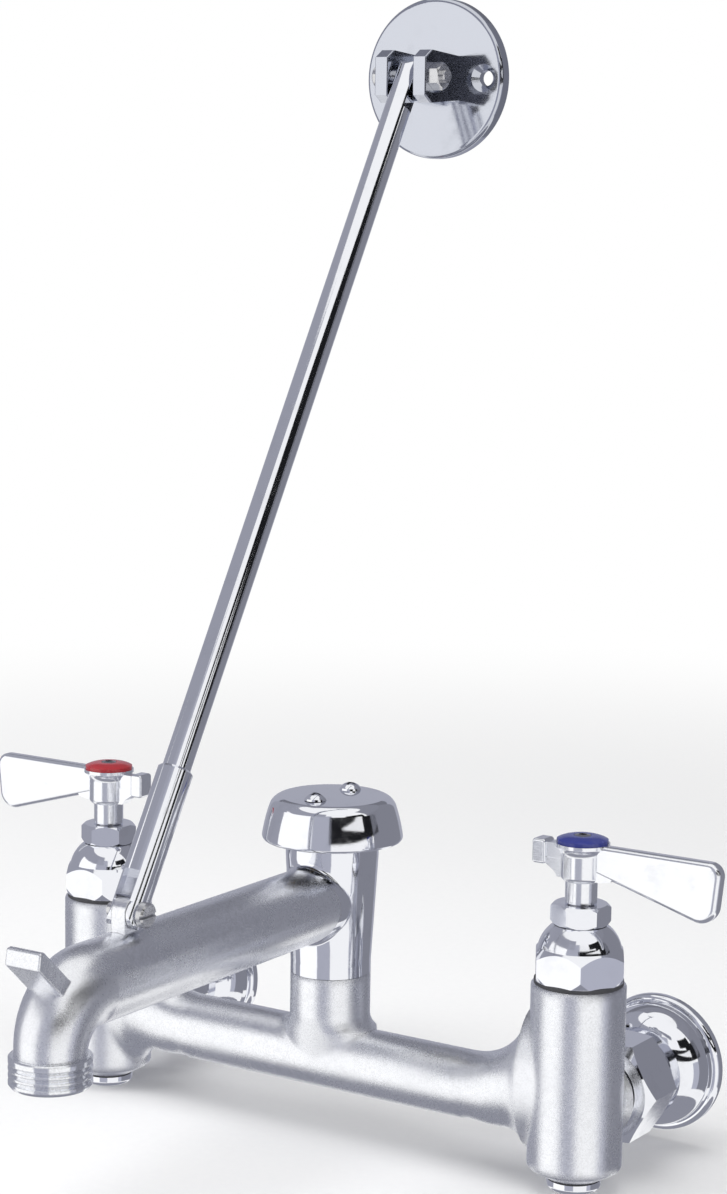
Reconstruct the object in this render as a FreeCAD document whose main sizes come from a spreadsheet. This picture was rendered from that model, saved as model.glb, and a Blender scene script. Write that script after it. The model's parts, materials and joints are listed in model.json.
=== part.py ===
import FreeCAD, Part
import math
import os
import re
import Sketcher

# A commercial wall faucet: two compression valves in one casting, a vacuum breaker over the middle, a spout with a
# hose thread and a pail hook, and a brace from the spout up to the wall. Millimetres, +Z up, the wall is the plane
# y = 0, the faucet stands out towards -Y, and the origin lies midway between the two inlets at their height.

Vector = FreeCAD.Vector
doc = FreeCAD.newDocument("wall_faucet")

# ---------------------------------------------------------------------------------------------------------------
# Driving dimensions
# ---------------------------------------------------------------------------------------------------------------
SIZES = [
    # whole faucet
    ("inlet_spacing", 203.2, "between the axes of the two inlets"),
    ("wall_to_valve", 64.5, "wall to the valve axes"),
    ("spout_reach", 159.0, "valve axes to the outlet axis"),
    ("spout_height", 58.8, "spout axis above the inlets"),
    ("brace_height", 351.0, "brace flange centre above the inlets"),
    # clearances
    ("thread_gap", 0.05, "radial gap of a threaded or glued pair"),
    ("shaft_gap", 0.05, "radial gap of a shaft that turns or slides"),
    ("near_gap", 0.4, "gap between faces that move past each other"),
    ("past", 1.0, "how far a cutter runs past the face that it opens"),
    ("through", 200.0, "length of a cutter that goes through everything"),
    # casting: barrels
    ("barrel_radius", 16.4, "outside of a valve barrel"),
    ("barrel_top", 44.0, "top face of a barrel"),
    ("barrel_bottom", 20.8, "depth of a barrel's straight side below the inlets"),
    ("barrel_cone", 4.0, "depth of the cone under a barrel"),
    ("barrel_edge", 1.0, "rounding of a barrel's edges"),
    ("lower_chamber_radius", 10.5, "chamber under the seat"),
    ("lower_chamber_floor", 18.0, "depth of that chamber below the inlets"),
    ("plug_thread_radius", 7.0, "threaded hole in a barrel's floor"),
    ("web_bottom", 3.0, "underside of the web that holds the seat"),
    ("web_thickness", 5.0, "thickness of that web"),
    ("seat_thread_radius", 7.5, "threaded hole in the web"),
    ("upper_chamber_radius", 11.5, "chamber over the seat"),
    ("bonnet_thread_radius", 12.6, "threaded mouth of a barrel"),
    ("bonnet_thread_depth", 18.0, "depth of that thread"),
    # casting: crossbar, post and arms
    ("crossbar_radius", 12.0, "outside of the crossbar"),
    ("crossbar_bore", 7.5, "radius of the crossbar's passage"),
    ("blend_upper", 26.0, "radius of the blend over the crossbar's ends"),
    ("blend_lower", 8.0, "radius of the blend under the crossbar's ends"),
    ("upflow_radius", 5.0, "radius of the slanted passage from an upper chamber"),
    ("upflow_start", 38.0, "distance of its lower end from the valve axis"),
    ("upflow_drop", 1.0, "depth of its lower end below the inlets"),
    ("upflow_end", 10.0, "distance of its upper end from the valve axis"),
    ("upflow_rise", 17.0, "height of its upper end"),
    ("post_radius", 14.5, "outside of the centre post"),
    ("post_top", 31.5, "top face of the post"),
    ("post_blend", 5.0, "radius of the blend between post and crossbar"),
    ("post_bore", 7.0, "passage up the post"),
    ("tail_radius", 8.6, "threaded socket in the post's top"),
    ("tail_depth", 12.5, "depth of that socket"),
    ("arm_radius", 12.2, "outside of an inlet arm"),
    ("arm_bore", 6.0, "radius of an arm's passage"),
    ("arm_drop", 3.5, "depth of that passage below the inlet axis"),
    ("arm_flare", 2.4, "extra radius of an arm at its root"),
    ("arm_flare_length", 4.4, "length of that flare past the barrel's side"),
    # inlet unions
    ("flange_radius", 25.0, "rim of an inlet flange"),
    ("flange_rim", 4.4, "thickness of that rim"),
    ("flange_step", 2.2, "width of the step inside the rim"),
    ("flange_height", 17.0, "height of the flange's dome"),
    ("flange_dome_bend", 14.0, "curve of the flange's dome"),
    ("neck_radius", 14.6, "threaded neck of an inlet flange"),
    ("neck_top", 33.0, "end face of that neck"),
    ("inlet_thread_radius", 10.3, "female pipe thread"),
    ("inlet_thread_depth", 16.0, "depth of the pipe thread"),
    ("inlet_bore", 8.0, "passage past the pipe thread"),
    ("union_washer", 2.0, "thickness of the joint washer"),
    ("union_nut_flats", 34.6, "across the flats of a coupling nut"),
    ("union_nut_start", 25.0, "wall to the near face of a coupling nut"),
    ("union_nut_length", 20.0, "length of a coupling nut"),
    ("union_nut_chamfer", 2.2, "height of a coupling nut's chamfers"),
    ("ring_section", 2.0, "thickness of the retaining ring"),
    ("ring_radius", 14.2, "outside of the retaining ring"),
    ("ring_groove", 11.3, "bottom of the groove that holds the ring"),
    ("ring_setback", 0.8, "arm's end to the groove"),
    # valve internals
    ("plug_head_radius", 9.3, "head of the plug under a barrel"),
    ("plug_head", 3.6, "height of that head"),
    ("plug_thread", 7.0, "length of the plug's thread"),
    ("plug_seal", 0.5, "thickness of the plug's seal"),
    ("seat_bore", 4.5, "bore of a seat"),
    ("seat_collar_radius", 9.0, "collar of a seat"),
    ("seat_collar", 1.2, "thickness of that collar"),
    ("seat_lip_radius", 6.2, "lip that the washer closes on"),
    ("seat_lip", 1.3, "height of that lip over the collar"),
    ("washer_radius", 7.2, "seat washer"),
    ("washer_thickness", 3.0, "thickness of the seat washer"),
    ("washer_screw_radius", 2.0, "shank of the washer's screw"),
    ("washer_screw_head", 3.4, "radius of the washer screw's head"),
    ("washer_screw_length", 5.5, "length of the washer screw in the holder"),
    ("holder_radius", 8.4, "washer holder"),
    ("holder_skirt", 1.5, "depth of the holder's skirt round the washer"),
    ("holder_disc", 2.8, "thickness of the holder's disc"),
    ("holder_pin_radius", 3.6, "pin on which the spindle turns"),
    ("holder_pin", 7.7, "length of that pin"),
    ("stem_lift", 3.6, "rise of the valve from shut to open"),
    ("spindle_thread_radius", 7.95, "coarse thread of the spindle"),
    ("spindle_thread", 17.4, "length of the coarse thread"),
    ("spindle_radius", 4.4, "spindle through the packing"),
    ("spindle_top", 90.0, "top of the spindle"),
    ("spindle_end_radius", 3.9, "radius of the spindle in the handle's socket"),
    ("spindle_flat", 3.3, "spindle axis to each of its two flats there"),
    ("socket_depth", 6.9, "depth of the handle's socket"),
    ("handle_screw_radius", 1.7, "shank of the handle screw"),
    ("handle_screw_depth", 11.0, "depth of the screw's hole in the spindle"),
    ("gasket_radius", 15.4, "gasket under the bonnet"),
    ("gasket_thickness", 1.4, "thickness of that gasket"),
    ("bonnet_flats", 29.6, "across the flats of the bonnet"),
    ("bonnet_hex", 11.6, "height of the bonnet's hexagon"),
    ("bonnet_chamfer", 3.4, "height of the chamfer on the hexagon"),
    ("dome_top", 64.5, "top of the bonnet's dome"),
    ("dome_base_radius", 14.3, "dome where it leaves the hexagon"),
    ("dome_bend", 13.0, "curve of the dome's side"),
    ("dome_top_radius", 9.2, "dome under the packing nut"),
    ("box_top", 70.5, "top of the packing box"),
    ("box_radius", 7.5, "outside of the packing box"),
    ("box_bore", 6.0, "inside of the packing box"),
    ("box_depth", 8.0, "depth of the packing box"),
    ("packing_nut_flats", 18.0, "across the flats of the packing nut"),
    ("packing_nut_cap", 1.3, "thickness of the packing nut's top"),
    ("packing_nut_chamfer", 1.2, "height of the packing nut's chamfers"),
    ("packing_nut_turn", 30.0, "degrees by which the packing nut stands turned from the bonnet"),
    # levers
    ("skirt_radius", 5.5, "skirt of the lever's hub"),
    ("hub_bottom", 79.7, "height at which the hub swells out of its skirt"),
    ("hub_radius", 7.3, "hub between its foot and its rim"),
    ("hub_rim_radius", 9.4, "rim round the index ring"),
    ("hub_floor", 92.0, "floor of the ring's recess"),
    ("hub_rim", 1.0, "height of the rim over that floor"),
    ("ring_outer_radius", 8.8, "index ring"),
    ("ring_inner_radius", 2.95, "hole of the index ring"),
    ("ring_edge", 2.2, "thickness of the index ring at its edge"),
    ("ring_crown", 3.5, "height of the index ring at its hole"),
    ("ring_bend", 12.0, "curve of the index ring's crown"),
    ("screw_head_radius", 2.8, "head of the handle screw"),
    ("screw_head", 3.9, "height of that head"),
    ("screw_head_bend", 10.0, "curve of that head's crown"),
    ("screw_key", 2.6, "across the flats of its key hole"),
    ("screw_key_depth", 1.3, "depth of that key hole"),
    ("blade_length", 53.2, "valve axis to the lever's tip"),
    ("blade_top", 93.0, "top edge of the blade"),
    ("blade_foot", 80.4, "lowest point of the blade's root"),
    ("blade_notch", 12.4, "valve axis to the start of the blade's lower edge"),
    ("blade_root_height", 11.7, "height of the blade at its start"),
    ("blade_tip_height", 22.8, "height of the blade at its tip"),
    ("blade_rake", 2.4, "backward slope of the blade's end"),
    ("blade_thickness", 5.6, "thickness of the blade"),
    ("blade_corner", 4.6, "rounding of the blade's upper corner"),
    ("blade_low_corner", 6.4, "rounding of the blade's lower corner"),
    ("blade_edge", 1.9, "rounding of the blade's long edges"),
    ("stub_length", 17.8, "valve axis to the end of the short wing"),
    ("stub_height", 8.9, "height of the short wing's end"),
    ("stub_neck_height", 6.4, "height of the short wing's neck"),
    ("stub_block", 5.2, "length of the short wing's end block"),
    ("stub_thickness", 6.8, "thickness of the short wing's end block"),
    # vacuum breaker
    ("breaker_radius", 16.7, "vacuum breaker under its cap"),
    ("breaker_taper_low", 36.0, "height at which the taper starts"),
    ("breaker_taper_high", 74.5, "height at which the taper ends"),
    ("breaker_top", 84.0, "top face of the vacuum breaker"),
    ("breaker_chamber_radius", 12.4, "chamber of the vacuum breaker"),
    ("breaker_floor", 42.0, "floor of that chamber"),
    ("breaker_inlet", 6.2, "passage in the breaker's tail"),
    ("inlet_lip", 1.5, "height of the lip that the float rests on"),
    ("inlet_lip_radius", 7.8, "outside of that lip"),
    ("breaker_seal", 1.2, "thickness of the seal under the breaker"),
    ("breaker_seal_radius", 12.0, "outside of that seal"),
    ("boss_radius", 13.5, "side boss that carries the spout"),
    ("boss_stand", 3.0, "boss beyond the breaker's widest side"),
    ("boss_fillet", 2.0, "fillet at the root of the boss"),
    ("air_thread_radius", 13.0, "thread of the air seat"),
    ("air_seat_depth", 10.0, "height of the air seat"),
    ("air_lip", 2.0, "lip under the air seat"),
    ("air_seat_stand", 0.3, "top of the air seat above the breaker's top"),
    ("air_port", 6.6, "air port"),
    ("air_ring", 4.0, "thickness of the air seat round its port"),
    ("air_hub_radius", 4.2, "hub that guides the float"),
    ("air_hub", 5.0, "height of that hub"),
    ("spoke_width", 2.0, "width of the spokes that hold the hub"),
    ("cap_post_radius", 2.6, "posts that carry the cap"),
    ("cap_post_circle", 11.3, "distance of the posts from the axis"),
    ("float_lift", 4.8, "travel of the float"),
    ("float_disc", 2.5, "thickness of the float's lower disc"),
    ("float_disc_radius", 9.6, "float's lower disc"),
    ("float_stem_radius", 3.0, "stem between the float's discs"),
    ("float_head", 2.5, "thickness of the float's upper disc"),
    ("float_seal", 2.4, "thickness of the float's seal"),
    ("float_seal_radius", 9.6, "float's seal"),
    ("float_pin_radius", 2.5, "guide pin of the float"),
    ("float_pin", 13.0, "length of that pin over the upper disc"),
    ("cap_radius", 25.3, "rim of the cap"),
    ("cap_bottom", 80.3, "rim of the cap above the inlets"),
    ("cap_top", 96.2, "top of the cap"),
    ("cap_shoulder_radius", 22.6, "cap where its side turns in"),
    ("cap_shoulder", 3.4, "depth of that shoulder below the top"),
    ("cap_flat_radius", 19.0, "flat top of the cap"),
    ("cap_wall", 1.6, "thickness of the cap"),
    ("cap_side_bend", 60.0, "curve of the cap's side"),
    ("cap_shoulder_bend", 5.5, "curve of the cap's shoulder outside"),
    ("cap_inner_bend", 4.6, "curve of that shoulder inside"),
    ("cap_crown_bend", 300.0, "curve of the cap's nearly flat top"),
    ("cap_screw_radius", 1.5, "shank of a cap screw"),
    ("cap_screw_head_radius", 4.0, "head of a cap screw"),
    ("cap_screw_head", 2.5, "height of that head"),
    ("cap_cross_length", 4.2, "length of the arms of its cross slot"),
    ("cap_cross_width", 0.9, "width of those arms"),
    ("cap_cross_depth", 1.2, "depth of the cross slot"),
    ("cap_screw_length", 7.0, "length of a cap screw in its post"),
    # spout
    ("spout_radius", 13.5, "outside of the spout"),
    ("spout_bore", 9.4, "passage of the spout"),
    ("elbow_radius", 17.5, "bend of the elbow on its centre line"),
    ("outlet_neck_radius", 11.6, "spout over its hose thread"),
    ("hose_radius", 13.4, "hose thread over its crests"),
    ("hose_top", 40.6, "upper end of the hose thread's collar"),
    ("outlet_face", 30.6, "outlet face above the inlets"),
    ("hose_pitch", 2.209, "pitch of the hose thread"),
    ("hose_depth", 0.9, "depth of the hose thread's grooves"),
    ("hose_land", 2.1, "plain collar over the first groove"),
    ("hose_lead", 1.0, "chamfer at the outlet"),
    ("spout_tail_radius", 10.9, "spout's tail in the breaker's boss"),
    ("spout_tail_end", 13.4, "breaker's axis to the end of that tail"),
    ("tail_seal_groove", 1.4, "depth of the tail's seal groove"),
    ("tail_seal_width", 1.8, "width of the tail's seal groove"),
    ("tail_seal_place", 15.6, "breaker's axis to the seal groove"),
    ("hook_width", 13.8, "pail hook across the spout"),
    ("hook_thickness", 6.0, "thickness of the hook's prong"),
    ("hook_length", 27.6, "length of the prong from its root"),
    ("hook_angle", 43.0, "rise of the prong towards the front"),
    ("hook_back", 6.0, "outlet axis to the prong's root, towards the wall"),
    ("hook_root", 56.9, "height of the prong's root"),
    ("hook_chamfer", 2.2, "cut on the prong's tip"),
    ("hook_corner", 1.0, "rounding across the prong's tip"),
    ("hook_edge", 0.7, "rounding of the prong's sides"),
    ("lug_reach", 119.5, "valve axes to the brace lug's hole"),
    ("lug_radius", 5.4, "rounded top of the brace lug"),
    ("lug_thickness", 5.6, "thickness of the brace lug"),
    ("lug_clear", 0.6, "spout's top to the fork's lowest point"),
    # brace
    ("fork_radius", 6.0, "outside of the brace's lower sleeve"),
    ("fork_end_radius", 5.2, "rounded ends of its fork"),
    ("fork_depth", 13.0, "depth of the fork's slot from the pivot"),
    ("fork_floor", 2.0, "wall between slot and bore"),
    ("sleeve_length", 50.0, "pivot to the sleeve's top"),
    ("rod_radius", 4.76, "brace rod"),
    ("rod_start", 28.0, "lower pivot to the rod's lower end"),
    ("rod_flat", 8.0, "thickness of the rod's flattened upper end"),
    ("rod_flat_length", 14.0, "length of that flat from the pivot"),
    ("pivot_radius", 2.4, "shank of the brace's pivot screws"),
    ("pivot_head_radius", 4.2, "heads of the pivot screws"),
    ("pivot_head", 2.6, "height of those heads"),
    ("pivot_off_wall", 22.0, "wall to the upper pivot"),
    ("brace_flange_radius", 28.8, "brace's wall flange"),
    ("brace_flange_thickness", 5.0, "thickness of that flange"),
    ("brace_flange_edge", 1.8, "rounding of its rim"),
    ("ear_gap", 10.6, "space between the ears"),
    ("ear_thickness", 5.4, "thickness of an ear"),
    ("ear_height", 18.6, "height of the ears at the front"),
    ("ear_root_height", 15.6, "height of the ears at the flange"),
    ("ear_stand", 5.8, "ears beyond the upper pivot"),
    ("ear_cut", 2.6, "cut corners of the ears"),
    ("ear_edge", 0.5, "rounding of the ears' edges"),
    ("wall_hole_radius", 2.8, "screw holes of the wall flange"),
    ("wall_hole_sink", 5.0, "countersink of those holes"),
    ("wall_hole_spacing", 42.0, "between the two screw holes"),
    ("nut_flats", 8.6, "across the flats of the upper nut"),
    ("nut_height", 4.2, "height of the upper nut"),
]

sheet = doc.addObject("Spreadsheet::Sheet", "sizes")
for row, (alias, value, note) in enumerate(SIZES, start=1):
    sheet.set(f"A{row}", note)
    sheet.set(f"B{row}", str(value))
    sheet.setAlias(f"B{row}", alias)
doc.recompute()

ALIASES = re.compile(r"\b(" + "|".join(alias for alias, _, _ in SIZES) + r")\b")
HOSE_GROOVES = 3
BLEND_TURNS = (0, 20, 38, 54, 68, 80)
POST_TURNS = (0, 25, 50, 75)
ELBOW_STEPS = 6
SPOKES = 3
SIDES = (("hot", -1), ("cold", 1))


# ---------------------------------------------------------------------------------------------------------------
# Helpers
# ---------------------------------------------------------------------------------------------------------------
def formula(text):
    """A formula on the sheet's names, as the document reads it."""
    return ALIASES.sub(r"sizes.\1", text)


def num(text):
    """The value of such a formula."""
    found = sheet.evalExpression(formula(text))
    return float(getattr(found, "Value", found))


def bind(thing, **formulas):
    """Tie properties of an object to formulas."""
    for prop, text in formulas.items():
        thing.setExpression(prop, formula(text))
    return thing


def place(thing, x="0", y="0", z="0", axis=None, angle=None):
    """Put an object at a place given by formulas, turned about an axis."""
    if axis is not None:
        thing.Placement.Rotation = FreeCAD.Rotation(Vector(*axis), num(angle))
        thing.setExpression("Placement.Rotation.Angle", formula(angle))
    for name, text in (("x", x), ("y", y), ("z", z)):
        thing.setExpression(f"Placement.Base.{name}", formula(text))
    return thing


def part(label, thing):
    """Give a finished sub-part its name."""
    thing.Label = label
    FINISHED.append(thing)
    return thing


def draw(body, name, plane, outline):
    """A closed sketch whose corners are tied to formulas.

    Each corner is (across, up) or (across, up, radius, side): with a radius, the edge that leads to that corner is an
    arc that bulges to the left (side 1) or right (side -1) of its direction.
    """
    sketch = body.newObject("Sketcher::SketchObject", name)
    carrier = next(item for item in body.Origin.OriginFeatures if item.Role == plane)
    sketch.AttachmentSupport = [(carrier, "")]
    sketch.MapMode = "FlatFace"
    corners = [Vector(num(corner[0]), num(corner[1]), 0) for corner in outline]
    count = len(corners)
    ends = []
    for index in range(count):
        after = (index + 1) % count
        start, stop = corners[index], corners[after]
        bend = outline[after][2:]
        if bend:
            radius = num(bend[0])
            chord = stop - start
            sagitta = radius - math.sqrt(max(radius ** 2 - (chord.Length / 2) ** 2, 0))
            left = Vector(-chord.y, chord.x, 0).normalize()
            middle = (start + stop) / 2 + left * (bend[1] * sagitta)
            edge = sketch.addGeometry(Part.Arc(start, middle, stop), False)
            rule = sketch.addConstraint(Sketcher.Constraint("Radius", edge, radius))
            sketch.setExpression(f"Constraints[{rule}]", formula(bend[0]))
        else:
            edge = sketch.addGeometry(Part.LineSegment(start, stop), False)
        first = 1 if (sketch.getPoint(edge, 1) - start).Length < 1e-6 else 2
        ends.append((edge, first, 3 - first))
    for index in range(count):
        edge, first, _ = ends[index]
        before, _, last = ends[index - 1]
        sketch.addConstraint(Sketcher.Constraint("Coincident", before, last, edge, first))
        for kind, text, line in (("DistanceX", outline[index][0], -2), ("DistanceY", outline[index][1], -1)):
            if text == "0":
                sketch.addConstraint(Sketcher.Constraint("PointOnObject", edge, first, line))
            else:
                rule = sketch.addConstraint(Sketcher.Constraint(kind, -1, 1, edge, first, num(text)))
                sketch.setExpression(f"Constraints[{rule}]", formula(text))
    return sketch


def new_body(name):
    return doc.addObject("PartDesign::Body", name)


def turned(name, outline):
    """A body of revolution about its own Z axis."""
    body = new_body(name)
    sketch = draw(body, f"{name}_profile", "XZ_Plane", outline)
    spin = body.newObject("PartDesign::Revolution", f"{name}_turned")
    spin.Profile = sketch
    spin.ReferenceAxis = (sketch, ["V_Axis"])
    spin.Angle = 360
    return body


def slab(name, plane, outline, thickness):
    """A body of an outline on an origin plane, with the plane in the middle of its thickness."""
    body = new_body(name)
    sketch = draw(body, f"{name}_outline", plane, outline)
    pad = body.newObject("PartDesign::Pad", f"{name}_pad")
    pad.Profile = sketch
    bind(pad, Length=thickness)
    pad.SideType = "Symmetric"
    return body


def rod(name, radius, height, **at):
    """A round bar or a round cutter."""
    bar = doc.addObject("Part::Cylinder", name)
    bind(bar, Radius=radius, Height=height)
    return place(bar, **at)


def hexagon(name, flats, low, high, turn="0"):
    """A six-sided bar about the Z axis between two heights."""
    bar = doc.addObject("Part::Prism", name)
    bar.Polygon = 6
    bind(bar, Circumradius=f"({flats}) / sqrt(3)", Height=f"({high}) - ({low})")
    return place(bar, z=low, axis=(0, 0, 1), angle=turn)


def box(name, length, width, height, **at):
    """A block centred on X and Y over its place."""
    block = doc.addObject("Part::Box", name)
    bind(block, Length=length, Width=width, Height=height)
    x, y = at.pop("x", "0"), at.pop("y", "0")
    return place(block, x=f"({x}) - ({length}) / 2", y=f"({y}) - ({width}) / 2", **at)


def joined(name, pieces):
    whole = doc.addObject("Part::MultiFuse", name)
    whole.Shapes = pieces
    whole.Refine = True
    return whole


def cut(name, base, tools):
    tool = tools[0] if len(tools) == 1 else joined(f"{name}_tools", tools)
    rest = doc.addObject("Part::Cut", name)
    rest.Base = base
    rest.Tool = tool
    rest.Refine = True
    return rest


def common(name, base, tool):
    shared = doc.addObject("Part::Common", name)
    shared.Base = base
    shared.Tool = tool
    return shared


def nut_blank(name, outline, flats, low, high, turn="0"):
    """A turned blank milled to six flats."""
    return common(name, turned(f"{name}_blank", outline), hexagon(f"{name}_flats", flats, low, high, turn))


FINISHED = []
VALVE_Y = "-wall_to_valve"
CORNER = "2 / sqrt(3)"


def valve_x(sign, offset="0"):
    """A place on the valve's axis, or the given distance from it towards the middle."""
    return f"{sign} * (inlet_spacing / 2 - ({offset}))"


# ---------------------------------------------------------------------------------------------------------------
# The casting
# ---------------------------------------------------------------------------------------------------------------
def barrel(side, sign):
    floor = "-(barrel_bottom + barrel_cone)"
    outline = [
        ("0", floor),
        ("plug_head_radius", floor),
        ("barrel_radius - 0.7 * barrel_edge", "-(barrel_bottom + 0.35 * barrel_edge)"),
        ("barrel_radius", "-(barrel_bottom - barrel_edge)", "2 * barrel_edge", -1),
        ("barrel_radius", "barrel_top - barrel_edge"),
        ("barrel_radius - barrel_edge", "barrel_top", "barrel_edge", -1),
        ("0", "barrel_top"),
    ]
    return place(turned(f"{side}_barrel", outline), x=valve_x(sign), y=VALVE_Y)


def barrel_hollow(side, sign):
    outline = [
        ("0", "-(barrel_bottom + barrel_cone + past)"),
        ("plug_thread_radius", "-(barrel_bottom + barrel_cone + past)"),
        ("plug_thread_radius", "-lower_chamber_floor"),
        ("lower_chamber_radius", "-lower_chamber_floor"),
        ("lower_chamber_radius", "web_bottom"),
        ("seat_thread_radius", "web_bottom"),
        ("seat_thread_radius", "web_bottom + web_thickness"),
        ("upper_chamber_radius", "web_bottom + web_thickness"),
        ("upper_chamber_radius", "barrel_top - bonnet_thread_depth"),
        ("bonnet_thread_radius", "barrel_top - bonnet_thread_depth"),
        ("bonnet_thread_radius", "barrel_top + past"),
        ("0", "barrel_top + past"),
    ]
    return place(turned(f"{side}_barrel_hollow", outline), x=valve_x(sign), y=VALVE_Y)


def ellipse(name, major, minor, **at):
    ring = doc.addObject("Part::Ellipse", name)
    ring.MajorRadius = num(major)
    ring.MinorRadius = num(minor)
    bind(ring, MajorRadius=major, MinorRadius=minor)
    return place(ring, **at)


def loft(name, sections, straight=False):
    skin = doc.addObject("Part::Loft", name)
    skin.Sections = sections
    skin.Solid = True
    skin.Ruled = straight
    return skin


def blended(name, rings, root):
    """A smooth skin over the rings and a straight one from the last of them to the root."""
    return [loft(f"{name}_skin", rings), loft(f"{name}_root", [rings[-1], root], straight=True)]


def crossbar_blend(side, sign):
    """The crossbar swells towards its barrel: a wide blend above, a tight one below."""
    sections = []
    reach = "(barrel_radius + blend_upper)"
    for turn in BLEND_TURNS:
        away = f"({reach} - blend_upper * sin({turn} deg))"
        top = f"(crossbar_radius + blend_upper * (1 - cos({turn} deg)))"
        inside = f"max(0; barrel_radius + blend_lower - {away})"
        bottom = f"(crossbar_radius + blend_lower - sqrt(blend_lower ^ 2 - {inside} ^ 2))"
        half = f"(crossbar_radius + (0.9 * barrel_radius - crossbar_radius) * (1 - cos({turn} deg)))"
        sections.append((away, top, bottom, half))
    sections.append(("(barrel_radius / 4)",) + sections[-1][1:])
    rings = []
    for index, (away, top, bottom, half) in enumerate(sections):
        rings.append(
            ellipse(
                f"{side}_blend_ring_{index}",
                f"({top} + {bottom}) / 2",
                f"min({half}; ({top} + {bottom}) / 2)",
                x=valve_x(sign, away),
                y=VALVE_Y,
                z=f"({top} - {bottom}) / 2",
                axis=(0, 1, 0),
                angle="90",
            )
        )
    return blended(f"{side}_crossbar_blend", rings[:-1], rings[-1])


def post_foot():
    """The post spreads along the crossbar it stands on."""
    top = "(crossbar_radius + post_blend)"
    rings = []
    for index, turn in enumerate(POST_TURNS):
        height = f"({top} - post_blend * sin({turn} deg))"
        along = f"(post_radius + post_blend * (1 - cos({turn} deg)))"
        across = f"(post_radius - (post_radius - crossbar_radius + 0.4) * (1 - {height} / {top}))"
        rings.append(ellipse(f"post_ring_{index}", along, across, y=VALVE_Y, z=height))
    base = ellipse("post_ring_base", "(post_radius + post_blend)", "(crossbar_radius - 0.4)", y=VALVE_Y, z="0")
    return blended("post_foot", rings, base)


def faucet_body():
    solids = []
    hollows = []
    for side, sign in SIDES:
        solids.append(barrel(side, sign))
        solids += crossbar_blend(side, sign)
        hollows.append(barrel_hollow(side, sign))
        arm = rod(
            f"{side}_arm",
            "arm_radius",
            "wall_to_valve - neck_top - union_washer",
            x=valve_x(sign),
            y=VALVE_Y,
            axis=(1, 0, 0),
            angle="-90",
        )
        flare = doc.addObject("Part::Cone", f"{side}_arm_flare")
        bind(flare, Radius1="arm_radius + arm_flare", Radius2="arm_radius", Height="arm_flare_length")
        place(
            flare,
            x=valve_x(sign),
            y="-wall_to_valve + barrel_radius - 1.5",
            axis=(1, 0, 0),
            angle="-90",
        )
        solids += [arm, flare]
        hollows.append(
            rod(
                f"{side}_inlet_passage",
                "arm_bore",
                "wall_to_valve - neck_top - lower_chamber_radius + 2",
                x=valve_x(sign),
                y="-wall_to_valve + lower_chamber_radius - 2",
                z="-arm_drop",
                axis=(1, 0, 0),
                angle="-90",
            )
        )
        run = "(upflow_start - upflow_end)"
        rise = "(upflow_rise + upflow_drop)"
        hollows.append(
            rod(
                f"{side}_upflow",
                "upflow_radius",
                f"sqrt({run} ^ 2 + {rise} ^ 2)",
                x=valve_x(sign, "upflow_start"),
                y=VALVE_Y,
                z="-upflow_drop",
                axis=(0, sign, 0),
                angle=f"atan({run} / {rise})",
            )
        )
        ring_gap = turned(
            f"{side}_ring_gap",
            [
                ("ring_groove", "0"),
                ("arm_radius + 1", "0"),
                ("arm_radius + 1", "ring_section + 2 * thread_gap"),
                ("ring_groove", "ring_section + 2 * thread_gap"),
            ],
        )
        place(
            ring_gap,
            x=valve_x(sign),
            y="-(neck_top + union_washer + ring_setback)",
            axis=(1, 0, 0),
            angle="90",
        )
        hollows.append(ring_gap)
    bar = "(inlet_spacing - 2 * (barrel_radius + blend_upper))"
    solids.append(
        rod("crossbar", "crossbar_radius", bar, x=f"-{bar} / 2", y=VALVE_Y, axis=(0, 1, 0), angle="90")
    )
    foot_top = "(crossbar_radius + post_blend)"
    solids.append(rod("post", "post_radius", f"post_top - {foot_top}", y=VALVE_Y, z=foot_top))
    solids += post_foot()
    passage = "(inlet_spacing - 2 * upflow_start + 2 * upflow_radius)"
    hollows.append(
        rod(
            "crossbar_passage", "crossbar_bore", passage, x=f"-{passage} / 2", y=VALVE_Y, axis=(0, 1, 0), angle="90"
        )
    )
    hollows.append(rod("post_passage", "post_bore", "post_top", y=VALVE_Y))
    hollows.append(
        rod("post_socket", "tail_radius", "tail_depth + past", y=VALVE_Y, z="post_top - tail_depth")
    )
    return part("faucet_body", cut("casting", joined("casting_solid", solids), hollows))


# ---------------------------------------------------------------------------------------------------------------
# Inlet unions
# ---------------------------------------------------------------------------------------------------------------
def towards_room(thing, sign, off_wall="0"):
    """Lay a turned piece on the inlet's axis, its foot towards the wall."""
    return place(thing, x=valve_x(sign), y=f"-({off_wall})", axis=(1, 0, 0), angle="90")


def inlet_flange(side, sign):
    step = "(flange_radius - flange_step)"
    outline = [
        ("inlet_thread_radius", "0"),
        ("flange_radius - 0.8", "0"),
        ("flange_radius", "0.8", "1.2", -1),
        ("flange_radius", "flange_rim - 2"),
        ("flange_radius - 1.6", "flange_rim", "2.2", -1),
        (step, "flange_rim"),
        (f"{step} - 0.6", "flange_rim + 1.8"),
        ("neck_radius + 1.6", "flange_height", "flange_dome_bend", -1),
        ("neck_radius", "flange_height"),
        ("neck_radius", "neck_top"),
        ("inlet_bore", "neck_top"),
        ("inlet_bore", "inlet_thread_depth"),
        ("inlet_thread_radius", "inlet_thread_depth"),
    ]
    piece = turned(f"{side}_escutcheon", outline)
    return part(f"{side}_inlet_flange", towards_room(piece, sign))


def union_washer(side, sign):
    outline = [
        ("inlet_bore + 0.2", "neck_top"),
        ("ring_radius", "neck_top"),
        ("ring_radius", "neck_top + union_washer"),
        ("inlet_bore + 0.2", "neck_top + union_washer"),
    ]
    return part(f"{side}_union_washer", towards_room(turned(f"{side}_joint_washer", outline), sign))


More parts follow.
